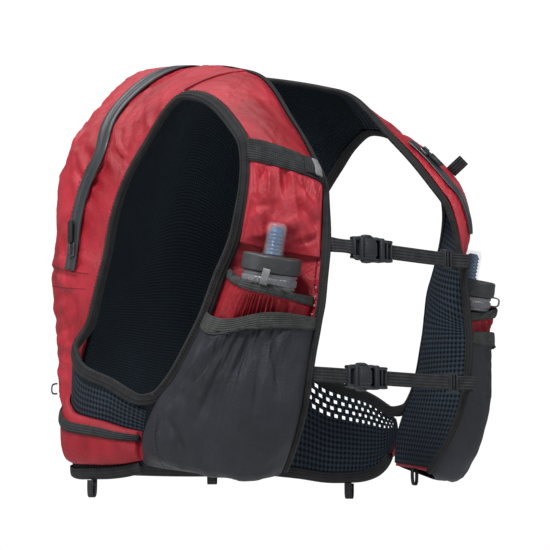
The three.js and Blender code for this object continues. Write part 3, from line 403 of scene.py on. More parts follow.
def sheet_of(name, skin, us, ws, wall, left=False, holes=None, fold=None):
    """A wall of cloth from a skin over a grid of places; fold gives how far each point stands off."""
    u, w = np.meshgrid(us, ws, indexing="ij")
    points = skin(u, w)
    if fold is not None:
        points = points + normal_of(skin, u, w) * fold(u, w, points)[..., None]
    cut_size(points)
    uv = lengths_uv(points, left)
    if left:
        points = mirror_x(points)
    used, faces = np.unique(grid_faces(len(us), len(ws), left, holes=holes), return_inverse=True)
    obj = from_arrays(name, points.reshape(-1, 3)[used], faces.reshape(-1, 4), uv.reshape(-1, 2)[used])
    return thicken(obj, wall)


def whole_back(name, skin, us, ws, wall, fold=None):
    """Both halves of the back in one wall, open at the neck and joined down the centre line."""
    parts, uvs, faces = [], [], []
    u, w = np.meshgrid(us, ws, indexing="ij")
    for left in (False, True):
        points = skin(u, w)
        if fold is not None:
            points = points + normal_of(skin, u, w) * fold(u, w, points, left)[..., None]
        points[(u > 0.99999) & (w >= 4), 0] = 0
        across, along, area = cut_size(points)
        uv = lengths_uv(points, left)
        start = sum(p.size // 3 for p in parts)
        faces.append(grid_faces(len(us), len(ws), left, start=start))
        parts.append((mirror_x(points) if left else points).reshape(-1, 3))
        uvs.append(uv.reshape(-1, 2))
    obj = from_arrays(name, np.concatenate(parts), np.concatenate(faces), np.concatenate(uvs))
    bm = bmesh.new()
    bm.from_mesh(obj.data)
    middle = [v for v in bm.verts if abs(v.co.x) < 1e-7]
    bmesh.ops.remove_doubles(bm, verts=middle, dist=2e-5)
    bm.to_mesh(obj.data)
    bm.free()
    return thicken(obj, wall)


def faced_out(points, faces):
    """The faces of a closed solid, turned so that they face out."""
    p = np.asarray(points).reshape(-1, 3)
    p = p - p.mean(0)
    total = 0.0
    for size in {len(f) for f in faces}:
        f = np.array([x for x in faces if len(x) == size])
        for k in range(1, size - 1):
            total += (p[f[:, 0]] * np.cross(p[f[:, k]], p[f[:, k + 1]])).sum()
    return [list(f)[::-1] for f in faces] if total < 0 else [list(f) for f in faces]


def tube(name, sections, closed=False):
    """A solid through a run of closed sections, with capped ends unless it closes on itself."""
    count, size, _ = sections.shape
    k, q = np.meshgrid(np.arange(count if closed else count - 1), np.arange(size), indexing="ij")
    kn, qn = (k + 1) % count, (q + 1) % size
    faces = np.stack([k * size + q, kn * size + q, kn * size + qn, k * size + qn], -1).reshape(-1, 4).tolist()
    if not closed:
        faces.append(list(range(size)))
        faces.append(list(range(count * size - 1, (count - 1) * size - 1, -1)))
    points = sections.reshape(-1, 3)
    faces = faced_out(points, faces)
    along = np.concatenate([[0], np.cumsum(np.linalg.norm(np.diff(sections.mean(1), axis=0), axis=-1))]) / 10
    ring = np.concatenate([[0], np.cumsum(np.linalg.norm(np.diff(sections[0], axis=0), axis=-1))]) / 10
    uv = np.stack(np.meshgrid(along, ring, indexing="ij"), -1)
    return from_arrays(name, points, faces, uv)


def blurred(values, steps, closed):
    pad = steps * 3
    kernel = np.exp(-0.5 * (np.arange(-pad, pad + 1) / steps) ** 2)
    kernel /= kernel.sum()
    if closed:
        wide = np.concatenate([values[-pad:], values, values[:pad]])
    else:
        head = 2 * values[0] - values[pad:0:-1]
        tail = 2 * values[-1] - values[-2:-pad - 2:-1]
        wide = np.concatenate([head, values, tail])
    return np.stack([np.convolve(wide[:, i], kernel, "valid") for i in range(values.shape[1])], -1)


def resampled(line, step=2.0, closed=False, soft=2):
    """Even points and normals along a line, rounded off at its corners."""
    points, normals = line
    if closed:
        points = np.concatenate([points, points[:1]])
        normals = np.concatenate([normals, normals[:1]])
    along = np.concatenate([[0], np.cumsum(np.linalg.norm(np.diff(points, axis=0), axis=-1))])
    count = max(8, int(along[-1] / step))
    at = np.linspace(0, along[-1], count, endpoint=not closed)
    p = np.stack([np.interp(at, along, points[:, i]) for i in range(3)], -1)
    n = np.stack([np.interp(at, along, normals[:, i]) for i in range(3)], -1)
    if soft and count > soft * 3 + 2:
        p = blurred(p, soft, closed)
        n = blurred(n, max(3, soft) if count > 12 else 1, closed) if count > 12 else n
    return p, unit(n)


def edge_of(skin, u, w):
    u, w = np.broadcast_arrays(np.asarray(u, float), np.asarray(w, float))
    return skin(u, w), normal_of(skin, u, w)


def joined(*lines):
    return np.concatenate([l[0] for l in lines]), np.concatenate([l[1] for l in lines])


def mirrored_line(line):
    return mirror_x(line[0])[::-1], mirror_x(line[1])[::-1]


def frames(points, normals, closed=False):
    if closed:
        along = unit(np.roll(points, -1, 0) - np.roll(points, 1, 0))
    else:
        along = unit(np.gradient(points, axis=0))
    side = unit(np.cross(along, normals))
    return along, side, unit(np.cross(side, along))


def swept(name, line, profile, closed=False, left=False, turn=None):
    """A profile of (side, up) pairs along a line of points and normals."""
    points, normals = line
    _, side, up = frames(points, normals, closed)
    profile = np.asarray(profile, float)
    if turn is not None:
        c, s = np.cos(turn)[:, None], np.sin(turn)[:, None]
        side, up = side * c + up * s, up * c - side * s
    sections = (points[:, None] + side[:, None] * profile[None, :, :1] + up[:, None] * profile[None, :, 1:])
    if left:
        sections = mirror_x(sections)
    return tube(name, sections, closed)


def strip(width, wall, aside=None, above=0.0, corner=0.5, crown=0.0):
    """The profile of a flat tape with rounded corners and a little crown."""
    aside = -width / 2 if aside is None else aside
    r = min(corner, wall / 2 - 0.01)
    out = []
    for cx, cy, a0 in ((aside + width - r, above + r, -PI / 2), (aside + width - r, above + wall - r, 0),
                       (aside + r, above + wall - r, PI / 2), (aside + r, above + r, PI)):
        out += [(cx + r * math.cos(a0 + t), cy + r * math.sin(a0 + t)) for t in (0, PI / 4, PI / 2)]
    mid = aside + width / 2
    top = [(mid + width * k, above + wall + crown * (1 - 4 * k * k)) for k in (0.3, 0.12, -0.12, -0.3)]
    return out[:6] + top + out[6:]


# The folded tape around an edge: over both faces of the cloth, with a slot for it
def fold_profile(sign, low, high, flap=2.6, out=7.3):
    pts = [(flap, low - 0.75), (-2.4, low - 0.95), (-out + 1.9, low - 0.5), (-out + 0.4, low + 0.9),
           (-out, (low + high) / 2), (-out + 0.4, high - 0.9), (-out + 1.9, high + 0.5), (-2.4, high + 0.95),
           (flap, high + 0.75), (flap + 0.5, high + 0.4), (flap, high + 0.08), (-0.7, high + 0.05),
           (-0.7, low - 0.05), (flap, low - 0.08), (flap + 0.5, low - 0.4)]
    return [(s * sign, h) for s, h in pts]


def spans(line, pitch, dash, width, height, lift, side_at=0.0, left=False):
    """Short threads along a line, as little rounded bars."""
    points, normals = resampled(line, 0.8, False, 0)
    along, side, up = frames(points, normals)
    length = np.concatenate([[0], np.cumsum(np.linalg.norm(np.diff(points, axis=0), axis=-1))])
    at = np.arange(pitch / 2, length[-1] - dash / 2, pitch)
    get = lambda a: np.stack([np.interp(at, length, a[:, i]) for i in range(3)], -1)
    p, t, s, n = get(points), get(along), get(side), get(up)
    p = p + s * side_at + n * lift
    ring = [(-0.5, 0), (-0.35, 1), (0.35, 1), (0.5, 0)]
    verts, faces = [], []
    for end, squeeze in ((-0.5, 0.55), (-0.25, 1), (0.25, 1), (0.5, 0.55)):
        for a, h in ring:
            verts.append(p + t * dash * end + s * width * a * squeeze + n * height * h * squeeze)
    verts = np.stack(verts, 1)
    base = np.arange(len(at))[:, None, None] * 16
    one = []
    for k in range(3):
        for q in range(4):
            one.append([k * 4 + q, (k + 1) * 4 + q, (k + 1) * 4 + (q + 1) % 4, k * 4 + (q + 1) % 4])
    one += [[0, 1, 2, 3], [15, 14, 13, 12]]
    faces = (np.array(one)[None] + base).reshape(-1, 4)
    pts = verts.reshape(-1, 3)
    if left:
        pts = mirror_x(pts)
    return pts, np.array(faced_out(pts, faces))


def threads(name, runs, mat, slot):
    """All the threads of one colour as one piece."""
    pts, faces, start = [], [], 0
    for p, f in runs:
        pts.append(p)
        faces.append(f + start)
        start += len(p)
    obj = from_arrays(name, np.concatenate(pts), np.concatenate(faces), np.zeros((start, 2)))
    return dress(obj, mat, slot)


# Materials
def lin(rgb):
    c = np.asarray(rgb, float) / 255
    return tuple(float(x) for x in np.where(c <= 0.04045, c / 12.92, ((c + 0.055) / 1.055) ** 2.4)) + (1.0,)


class Mat:
    """A Principled material with named steps for its nodes."""

    def __init__(self, name, rough=0.7, spec=0.4, sheen=0.0, metal=0.0, coat=0.0):
        self.mat = bpy.data.materials.new(name)
        self.mat.use_nodes = True
        self.nt = self.mat.node_tree
        self.bsdf = self.nt.nodes["Principled BSDF"]
        self.set("Roughness", rough)
        self.set("Specular IOR Level", spec)
        self.set("Metallic", metal)
        if sheen:
            self.set("Sheen Weight", sheen)
            self.set("Sheen Roughness", 0.5)
        if coat:
            self.set("Coat Weight", coat)
            self.set("Coat Roughness", 0.2)
        tex = self.node("ShaderNodeTexCoord")
        self.object = tex.outputs["Object"]
        split = self.node("ShaderNodeSeparateXYZ")
        self.link(tex.outputs["UV"], split.inputs[0])
        self.u, self.v = split.outputs[0], split.outputs[1]
        self.normal = None

    def node(self, kind):
        return self.nt.nodes.new(kind)

    def link(self, a, b):
        self.nt.links.new(a, b)

    def set(self, key, value):
        self.bsdf.inputs[key].default_value = value

    def math(self, op, a, b=None):
        n = self.node("ShaderNodeMath")
        n.operation = op
        for i, x in enumerate((a, b)):
            if x is None:
                continue
            if isinstance(x, (int, float)):
                n.inputs[i].default_value = x
            else:
                self.link(x, n.inputs[i])
        return n.outputs[0]

    def wave(self, at, period):
        return self.math("SINE", self.math("MULTIPLY", at, 2 * PI / period))

    def noise(self, scale, detail=3.0, rough=0.55, source=None):
        n = self.node("ShaderNodeTexNoise")
        n.inputs["Scale"].default_value = scale
        n.inputs["Detail"].default_value = detail
        n.inputs["Roughness"].default_value = rough
        self.link(source or self.object, n.inputs["Vector"])
        return n.outputs["Fac"]

    def ramp(self, fac, stops):
        n = self.node("ShaderNodeValToRGB")
        while len(n.color_ramp.elements) < len(stops):
            n.color_ramp.elements.new(0.5)
        for element, (at, rgb) in zip(n.color_ramp.elements, stops):
            element.position = at
            element.color = lin(rgb) if isinstance(rgb, tuple) else (rgb, rgb, rgb, 1)
        self.link(fac, n.inputs["Fac"])
        return n.outputs["Color"]

    def mix(self, fac, a, b, mode="MIX"):
        n = self.node("ShaderNodeMix")
        n.data_type = "RGBA"
        n.blend_type = mode
        for i, x in ((0, fac), (6, a), (7, b)):
            if isinstance(x, (float, int, tuple)):
                n.inputs[i].default_value = x
            else:
                self.link(x, n.inputs[i])
        return n.outputs[2]

    def color(self, socket):
        self.link(socket, self.bsdf.inputs["Base Color"])
        return self

    def rough(self, socket):
        self.link(socket, self.bsdf.inputs["Roughness"])
        return self

    def bump(self, height, depth_mm, strength=1.0):
        n = self.node("ShaderNodeBump")
        n.inputs["Strength"].default_value = strength
        n.inputs["Distance"].default_value = depth_mm * 0.001
        self.link(height, n.inputs["Height"])
        if self.normal is not None:
            self.link(self.normal, n.inputs["Normal"])
        self.normal = n.outputs["Normal"]
        self.link(self.normal, self.bsdf.inputs["Normal"])
        return self


def woven(name, light, mid, dark, rough, sheen, spec, thread=0.09, ripstop=0.0, fine=0.5):
    """Woven cloth: threads both ways, a coarser check if asked, small rumples and uneven colour."""
    m = Mat(name, rough, spec, sheen)
    blotch = m.noise(16, 4)
    colour = m.ramp(blotch, [(0.3, dark), (0.5, mid), (0.72, light)])
    weave = m.math("ADD", m.wave(m.u, thread), m.wave(m.v, thread))
    shade = m.math("ADD", m.math("MULTIPLY", weave, 0.05), 0.93)
    if ripstop:
        lines = m.math("MAXIMUM", m.wave(m.u, ripstop), m.wave(m.v, ripstop))
        lines = m.math("GREATER_THAN", lines, 0.93)
        shade = m.math("SUBTRACT", shade, m.math("MULTIPLY", lines, 0.06))
        m.bump(lines, 0.12)
    tone = m.node("ShaderNodeCombineColor")
    for i in range(3):
        m.link(shade, tone.inputs[i])
    m.color(m.mix(1.0, colour, tone.outputs[0], "MULTIPLY"))
    m.bump(weave, 0.06)
    m.bump(m.noise(170, 3), fine)
    m.rough(m.math("ADD", m.math("MULTIPLY", m.noise(60), 0.12), rough - 0.06))
    return m


def netting(name, light, dark, pitch, depth, rough=0.8):
    """Spacer mesh: raised diamonds of yarn around small pits, with painted shade in the pits and a painted
    highlight on the raised yarn.
    """
    m = Mat(name, rough, 0.25)
    a = m.wave(m.math("ADD", m.u, m.v), pitch)
    b = m.wave(m.math("SUBTRACT", m.u, m.v), pitch)
    net = m.math("MULTIPLY", a, b)
    net = m.math("ADD", m.math("MULTIPLY", net, 0.5), 0.5)
    fine = m.wave(m.math("ADD", m.u, m.math("MULTIPLY", m.v, 0.4)), pitch / 5)
    # painted shade and highlight: the ramp darkens the pits to near black as shade and lightens the raised
    # yarn as a highlight; the random blotches towards dark are uneven colour
    colour = m.ramp(net, [(0.15, dark), (0.75, light)])
    m.color(m.mix(m.noise(9, 2), colour, lin(dark)))
    m.bump(net, depth)
    m.bump(fine, 0.12)
    return m


def ribbed(name, light, dark, along, across, depth, rough=0.78):
    """Elastic or webbing: ribs along it, fine yarns over it."""
    m = Mat(name, rough, 0.35, 0.03)
    long_ribs = m.wave(m.v, along)
    yarns = m.wave(m.u, across)
    both = m.math("ADD", m.math("MULTIPLY", long_ribs, 0.6), m.math("MULTIPLY", yarns, 0.4))
    fac = m.math("ADD", m.math("MULTIPLY", both, 0.35), m.noise(120, 2))
    m.color(m.ramp(fac, [(0.2, dark), (0.85, light)]))
    m.bump(long_ribs, depth)
    m.bump(yarns, depth * 0.6)
    return m


def moulded(name, light, dark, rough, spec=0.5, grain=0.08, coat=0.0):
    m = Mat(name, rough, spec, coat=coat)
    m.color(m.ramp(m.noise(30, 4), [(0.3, dark), (0.7, light)]))
    m.bump(m.noise(900, 2), grain)
    m.rough(m.math("ADD", m.math("MULTIPLY", m.noise(90), 0.14), rough - 0.07))
    return m


RED = woven("red_cloth", (212, 56, 72), (192, 41, 57), (156, 22, 36), 0.38, 0.0, 0.5, 0.1, 0.0, 0.6)
RED_STRETCH = woven("red_stretch", (190, 36, 54), (168, 26, 42), (136, 14, 28), 0.52, 0.0, 0.4, 0.12, 0.0,
    0.6)
CHARCOAL = woven("charcoal_stretch", (48, 49, 59), (37, 38, 47), (27, 28, 36), 0.5, 0.02, 0.45, 0.11,
    0.45, 0.5)
# Nets: the light colour is the raised yarn with a painted highlight, and the dark colour is the pits with
# painted shade.
LINING = netting("lining_net", (42, 64, 78), (4, 7, 13), 0.5, 1.2)
WING_NET = netting("wing_net", (72, 88, 106), (2, 4, 9), 0.92, 1.6)
BINDING = ribbed("binding_tape", (44, 44, 46), (22, 22, 24), 0.3, 0.12, 0.1)
ELASTIC = ribbed("elastic", (80, 82, 80), (36, 38, 38), 0.17, 0.13, 0.2)
DARK_ELASTIC = ribbed("dark_elastic", (58, 60, 61), (18, 19, 21), 0.22, 0.16, 0.25)
WEBBING = ribbed("webbing", (64, 64, 67), (24, 24, 27), 0.26, 0.16, 0.25)
THREAD_RED = ribbed("red_thread", (126, 22, 34), (90, 14, 24), 0.2, 0.1, 0.05)
THREAD_DARK = ribbed("dark_thread", (34, 34, 36), (16, 16, 18), 0.2, 0.1, 0.05)
THREAD_LIGHT = ribbed("light_thread", (190, 190, 190), (150, 150, 150), 0.2, 0.1, 0.05)
ZIP_COAT = moulded("zip_coating", (66, 70, 74), (44, 48, 52), 0.42, 0.45, 0.05, coat=0.1)
PULL = moulded("pull_tab", (44, 46, 50), (28, 29, 32), 0.45)
METAL = moulded("zip_metal", (140, 142, 146), (96, 98, 102), 0.3, 0.6)
METAL.set("Metallic", 0.9)
BUCKLE = moulded("buckle_plastic", (50, 52, 58), (34, 36, 41), 0.36, 0.5, 0.06)
CAP = moulded("cap_plastic", (70, 71, 72), (50, 51, 52), 0.42, 0.5, 0.08)
COLLAR = moulded("collar_plastic", (140, 140, 145), (102, 102, 108), 0.28, 0.6, 0.04, coat=0.3)
VALVE = moulded("valve_blue", (20, 104, 160), (4, 62, 112), 0.35, 0.5, 0.04)
FILM = moulded("flask_film", (150, 146, 136), (112, 108, 98), 0.22, 0.5, 0.05, coat=0.4)
FILM.set("Transmission Weight", 0.35)
SHEATH = moulded("clear_sheath", (238, 242, 245), (222, 228, 233), 0.1, 0.5, 0.02)
SHEATH.set("Alpha", 0.09)
REFLECT = ribbed("reflective_tape", (158, 158, 158), (112, 112, 114), 0.12, 0.12, 0.05, 0.4)


def dress(obj, mat, slot, *nodes):
    """Give a piece its material and its body, and hide the CAD nodes that it stands for; the slot is not
    used.
    """
    obj.data.materials.clear()
    obj.data.materials.append(mat.mat)
    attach(obj, "root")
    if nodes:
        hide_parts(*nodes)
    return obj


SIDES = (("right", False), ("left", True))


def dense(lo, hi, count):
    """Places that crowd towards both ends."""
    return lo + (hi - lo) * (0.5 - 0.5 * np.cos(PI * np.linspace(0, 1, count)))


# Pack and back
back_rows = np.unique(np.concatenate([np.linspace(-0.2, 4, 48), np.linspace(4, 15, 104),
                                      np.linspace(7.98, 8.42, 12)]))
pack_us = 1 - np.sin(np.linspace(0, PI / 2, 92)) ** 0.85
pack_us = pack_us[::-1]
PACK_SEAM = 8.12
zip_at = np.linspace(0, 13, 200)
zip_half = edge_of(pack_skin, 1 - between(ZIP_WAY["across"], zip_at), between(ZIP_WAY["row"], zip_at))
PACK_CREASES = [
    (0.012, 4.3, 0.2, 4.75, 5.0, 1.6), (0.01, 4.8, 0.16, 5.35, 5.0, 1.8), (0.01, 5.4, 0.13, 6.0, 4.5, 1.5),
    (0.01, 5.95, 0.1, 6.9, 4.0, -1.0), (0.012, 6.5, 0.09, 7.5, 4.5, 1.4), (0.02, 8.5, 0.16, 8.75, 5.5, 1.7),
    (0.015, 8.9, 0.14, 9.25, 5.0, 1.5), (0.02, 9.5, 0.12, 9.7, 5.0, 1.2), (0.1, 9.0, 0.3, 9.5, 6.0, 1.2),
    (0.012, 3.4, 0.22, 3.5, 4.0, 1.1), (0.02, 2.4, 0.3, 2.9, 4.0, -0.8), (0.05, 7.5, 0.2, 7.9, 5.0, 1.3),
    (0.2, 5.4, 0.5, 5.7, 7.0, 1.5), (0.15, 6.4, 0.5, 6.6, 7.0, -1.2), (0.03, 10.2, 0.2, 10.9, 6.0, 1.3),
    (0.3, 7.0, 0.75, 7.35, 8.0, 1.2), (0.25, 10.0, 0.7, 10.2, 9.0, 1.4), (0.02, 11.6, 0.2, 12.2, 6.0, 1.2),
]


def gap_to(line, points):
    """The distance of each point from a line of points."""
    flat = points.reshape(-1, 3)
    square = (flat ** 2).sum(1)[:, None] + (line ** 2).sum(1)[None] - 2 * flat @ line.T
    return np.sqrt(np.maximum(0, square.min(1))).reshape(points.shape[:-1])


def pack_fold(u, w, points, left=False):
    across = 1 - u
    real = mirror_x(points) if left else points
    room = smooth((1 - across) / 0.02) * smooth(w / 0.6) * smooth((15 - w) / 0.8)
    rim = np.exp(-(1 - across) * 9)
    height = 2.4 * wrinkle(real, 70, 3) + 2.6 * wrinkle(drawn(real, (-0.15, -0.4, -0.9), 3.5), 30, 7, 0.7)
    height = height + 0.8 * wrinkle(drawn(real, (0.3, 0.6, -0.7), 3), 13, 11, 0.8)
    pull = w * 4.3 + (1 - across) * 26 + 1.3 * np.sin(w * 2.3)
    height = height + 2.2 * rim * (0.6 - 2 * np.abs(np.sin(pull)) ** 0.8) * smooth((w - 3) / 1) * 0.8
    height = height + 2.4 * creases(pack_skin, points, PACK_CREASES)
    calm = 1 - 0.9 * np.exp(-(gap_to(zip_half[0], points) / 9) ** 2)
    seam = np.exp(-((w - PACK_SEAM) / 0.06) ** 2)
    ridge = np.exp(-((w - PACK_SEAM - 0.16) / 0.1) ** 2)
    return height * room * calm - 1.3 * seam * room + 0.8 * ridge * room


pack = whole_back("pack_cloth", pack_skin, pack_us, back_rows, 1.1, pack_fold)
dress(pack, RED, "shell_red", "pack_shell")
lining_us = np.linspace(0, 1, 40)


def lining_fold(u, w, points, left):
    return 0.8 * wrinkle(mirror_x(points) if left else points, 80, 21) * smooth(u / 0.06)


back = whole_back("back_lining", over(back_base, LINING_WALL), lining_us, back_rows[::2], 1.8, lining_fold)
dress(back, LINING, "lining_mesh", "back_panel")

# Front panels: cloth outside, net inside
front_rows = np.linspace(-0.12, 19, 176)
front_us = np.linspace(0, 1, 36)
FRONT_CREASES = [
    (0.2, 1.2, 0.75, 1.7, 5.0, 1.3), (0.15, 2.5, 0.6, 2.2, 5.0, -1.0), (0.3, 3.3, 0.9, 3.0, 5.0, 1.3),
    (0.1, 4.2, 0.5, 3.7, 4.0, 1.0), (0.75, 4.5, 0.98, 3.8, 4.0, 1.1), (0.7, 8.9, 0.97, 8.0, 4.0, 1.2),
    (0.05, 9.3, 0.3, 10.3, 4.0, 1.3), (0.75, 10.0, 0.98, 9.2, 4.0, 1.2),
]


def shoulder_height(w):
    return PANEL_WALL + (LINING_WALL + GAP + FABRIC_WALL - PANEL_WALL) * np.maximum(0, 1 - w / 1.5) ** 2


def front_skin(u, w):
    u, w = np.broadcast_arrays(np.asarray(u, float), np.asarray(w, float))
    return front_base(u, w) + normal_of(front_base, u, w) * shoulder_height(w)[..., None]


def front_fold(seed):
    def fold(u, w, points):
        room = smooth(u / 0.05) * smooth((1 - u) / 0.05) * smooth(w / 0.5)
        free = 1 - 0.85 * smooth((w - 10.6) / 0.6)
        height = 1.7 * wrinkle(drawn(points, (0.3, -0.4, -0.85), 3), 28, seed)
        height = height + 0.7 * wrinkle(drawn(points, (-0.5, 0.5, -0.7), 3), 14, seed + 5, 0.7)
        height = height + 1.5 * creases(front_skin, points, FRONT_CREASES)
        return np.maximum(height, -1.0 + 0 * w) * room * free
    return fold


for side, left in SIDES:
    shell = sheet_of(f"front_cloth_{side}", front_skin, front_us, front_rows, 0.9, left,
                     fold=front_fold(31 + left))
    dress(shell, RED, "shell_red", f"front_panel_{side}")
    net = sheet_of(f"front_lining_{side}", over(front_base, 1.0), np.linspace(0, 1, 24), front_rows[::2],
        0.9, left)
    dress(net, WING_NET, "lining_mesh")


# Pockets
def below_mm(w, start, per_row):
    return (w - start) * per_row


CHEST_CREASES = [
    (0.54, 6.1, 0.52, 7.0, 3.2, 3.2), (0.52, 6.8, 0.68, 8.4, 4.0, 2.2), (0.38, 6.4, 0.08, 7.2, 3.6, 3.0),
    (0.36, 6.8, 0.05, 7.7, 4.0, -2.6), (0.33, 7.2, 0.06, 8.1, 3.6, 2.6), (0.74, 6.2, 0.88, 7.3, 3.6, 2.6),
    (0.65, 6.3, 0.72, 7.6, 4.0, -2.2), (0.34, 7.8, 0.76, 8.7, 4.2, -2.4), (0.28, 8.2, 0.7, 9.0, 3.6, 2.6),
    (0.24, 8.7, 0.04, 8.3, 3.2, 2.8), (0.9, 7.5, 0.96, 8.7, 3.4, 2.4), (0.82, 7.6, 0.7, 8.8, 3.4, -2.0),
    (0.46, 6.2, 0.3, 6.9, 3.0, -1.8), (0.6, 7.3, 0.9, 7.9, 4.0, 1.8),
]


def chest_fold(u, w, points):
    share = (u - 0.03) / 0.94
    below = below_mm(w, 6.2, 19)
    room = smooth(share / 0.05) * smooth((1 - share) / 0.05) * smooth((9.2 - w) / 0.5)
    height = gathers(share, below, 7, 41, 30, 4.0, -0.4, 0.5) + gathers(share, below, 21, 42, 9, 2.0)
    cross = 1.8 * wrinkle(drawn(points, (-0.48, 0.51, -0.7), 4), 30, 43, 0.6)
    cross = cross + 0.8 * wrinkle(drawn(points, (0.4, -0.45, -0.8), 4), 14, 44, 0.8)
    height = height + cross * smooth(below / 10)
    height = height + 1.5 * creases(pocket_skin(CHEST), points, CHEST_CREASES)
    return height * room


def zipped_fold(u, w, points):
    room = (smooth((u - 0.03) / 0.05) * smooth((0.97 - u) / 0.05) * smooth((w - 3) / 0.4)
        * smooth((8.9 - w) / 0.3))
    ruffle = np.exp(-((u - 0.82) / 0.13) ** 2) * np.sin(w * 19 * 2 * PI / 9.0) * smooth((w - 5) / 0.6)
    return (0.9 * wrinkle(points, 30, 51) + 0.5 * wrinkle(points, 12, 52, 0.8) + 1.2 * ruffle) * room


def flask_fold(seed):
    def fold(u, w, points):
        share = np.clip((u - 0.07) / 0.88, 0, 1)
        below = below_mm(w, 12.0, 14)
        room = smooth(share / 0.04) * smooth((1 - share) / 0.04) * smooth((18.6 - w) / 0.5)
        height = gathers(share, below, 15, seed, 60, 5.0, 0.2) + gathers(share, below, 31, seed + 1, 18, 2.2)
        cross = wrinkle(drawn(points, (-0.48, 0.51, -0.7), 3), 18, seed + 2, 0.8)
        return (height + 2.0 * cross * smooth(below / 4)) * room
    return fold


def lower_fold(seed):
    def fold(u, w, points):
        share = (u + 0.012) / 1.024
        below = below_mm(w, 14.0, 21)
        room = smooth(share / 0.04) * smooth((1 - share) / 0.04) * smooth((19 - w) / 0.3)
        height = (gathers(share, below, 34, seed, 12, 2.2, 0.25)
            + gathers(share, below, 13, seed + 1, 24, 2.4, 0.3))
        height = height + gathers(share, below, 5, seed + 2, 70, 1.6, 0.3, -0.25)
        height = (height + (2.2 * wrinkle(points, 64, seed + 3, 0.6) + 0.7
            * wrinkle(points, 26, seed + 4)) * smooth(below / 10))
        height = height + 1.7 * creases(pocket_skin(LOWER), points, [
            (0.95, 17.0, 0.78, 18.8, 2.4, 3.2), (0.86, 17.7, 0.7, 18.8, 4.0, -2.6),
            (0.7, 14.3, 0.9, 16.6, 4.0, 2.4),
            (0.8, 14.3, 0.97, 15.8, 3.4, -2.0), (0.55, 14.2, 0.62, 17.2, 4.0, 2.2),
            (0.4, 14.2, 0.44, 16.0, 3.4, 2.4),
            (0.28, 14.2, 0.2, 17.0, 4.0, 2.2), (0.15, 14.3, 0.06, 16.2, 3.4, 2.4),
            (0.35, 16.0, 0.25, 18.6, 5.0, -2.0),
            (0.5, 18.2, 0.2, 18.8, 5.0, 1.6), (0.74, 17.4, 0.6, 18.7, 4.0, 2.4),
            (0.66, 18.0, 0.84, 17.2, 3.0, 2.0)])
        return height * room
    return fold


def pocket_sheet(name, pocket, w0, w1, nu, nw, wall, left, fold):
    return sheet_of(name, pocket_skin(pocket), dense(pocket["lo"], pocket["hi"], nu), np.linspace(w0, w1, nw),
                    wall, left, fold=fold)


chest = pocket_sheet("chest_pocket_cloth_right", CHEST, 5, 9.2, 100, 100, 0.9, False, chest_fold)
dress(chest, RED, "shell_red", "chest_pocket_right")
chest = pocket_sheet("chest_pocket_cloth_left", ZIPPED, 3, 8.9, 70, 110, 0.9, True, zipped_fold)
dress(chest, RED, "shell_red", "chest_pocket_left")
for side, left in SIDES:
    pocket = pocket_sheet(f"flask_pocket_cloth_{side}", FLASK, 11, 18.6, 130, 84, 1.0, left,
        flask_fold(61 + 4 * left))
    dress(pocket, RED_STRETCH, "shell_red", f"flask_pocket_{side}")
    pocket = pocket_sheet(f"lower_pocket_cloth_{side}", LOWER, 13, 19, 140, 104, 1.0, left,
        lower_fold(71 + 7 * left))
    dress(pocket, CHARCOAL, "stretch_charcoal", f"lower_pocket_{side}")


def band(name, pocket, rows, mat, node, left, wave_seed):
    """An elastic band over a pocket's mouth, rounded at its edges."""
    skin = pocket_skin(pocket)
    us = dense(pocket["lo"], pocket["hi"], 100)
    ts = np.linspace(0, 1, 12)

    def fold(u, w, points):
        t = (w - rows[0]) / (rows[1] - rows[0])
        edge = np.abs(2 * t - 1) ** 5
        share = (u - pocket["lo"]) / (pocket["hi"] - pocket["lo"])
        wave = 0.25 * np.sin(share * 60 + wave_seed) * np.abs(2 * t - 1) ** 2
        return GAP + BAND_WALL - 0.7 * edge + wave
    obj = sheet_of(name, skin, us, rows[0] + (rows[1] - rows[0]) * ts, 1.4, left, fold=fold)
    return dress(obj, mat, "elastic_band", node)


band("chest_elastic_right", CHEST, (4.85, 6.2), DARK_ELASTIC, "chest_band_right", False, 0.4)
for side, left in SIDES:
    band(f"flask_elastic_{side}", FLASK, (10.95, 12.0), ELASTIC, f"flask_band_{side}", left, 1.1)
    band(f"lower_elastic_{side}", LOWER, (12.9, 14.0), ELASTIC, f"lower_band_{side}", left, 2.3)


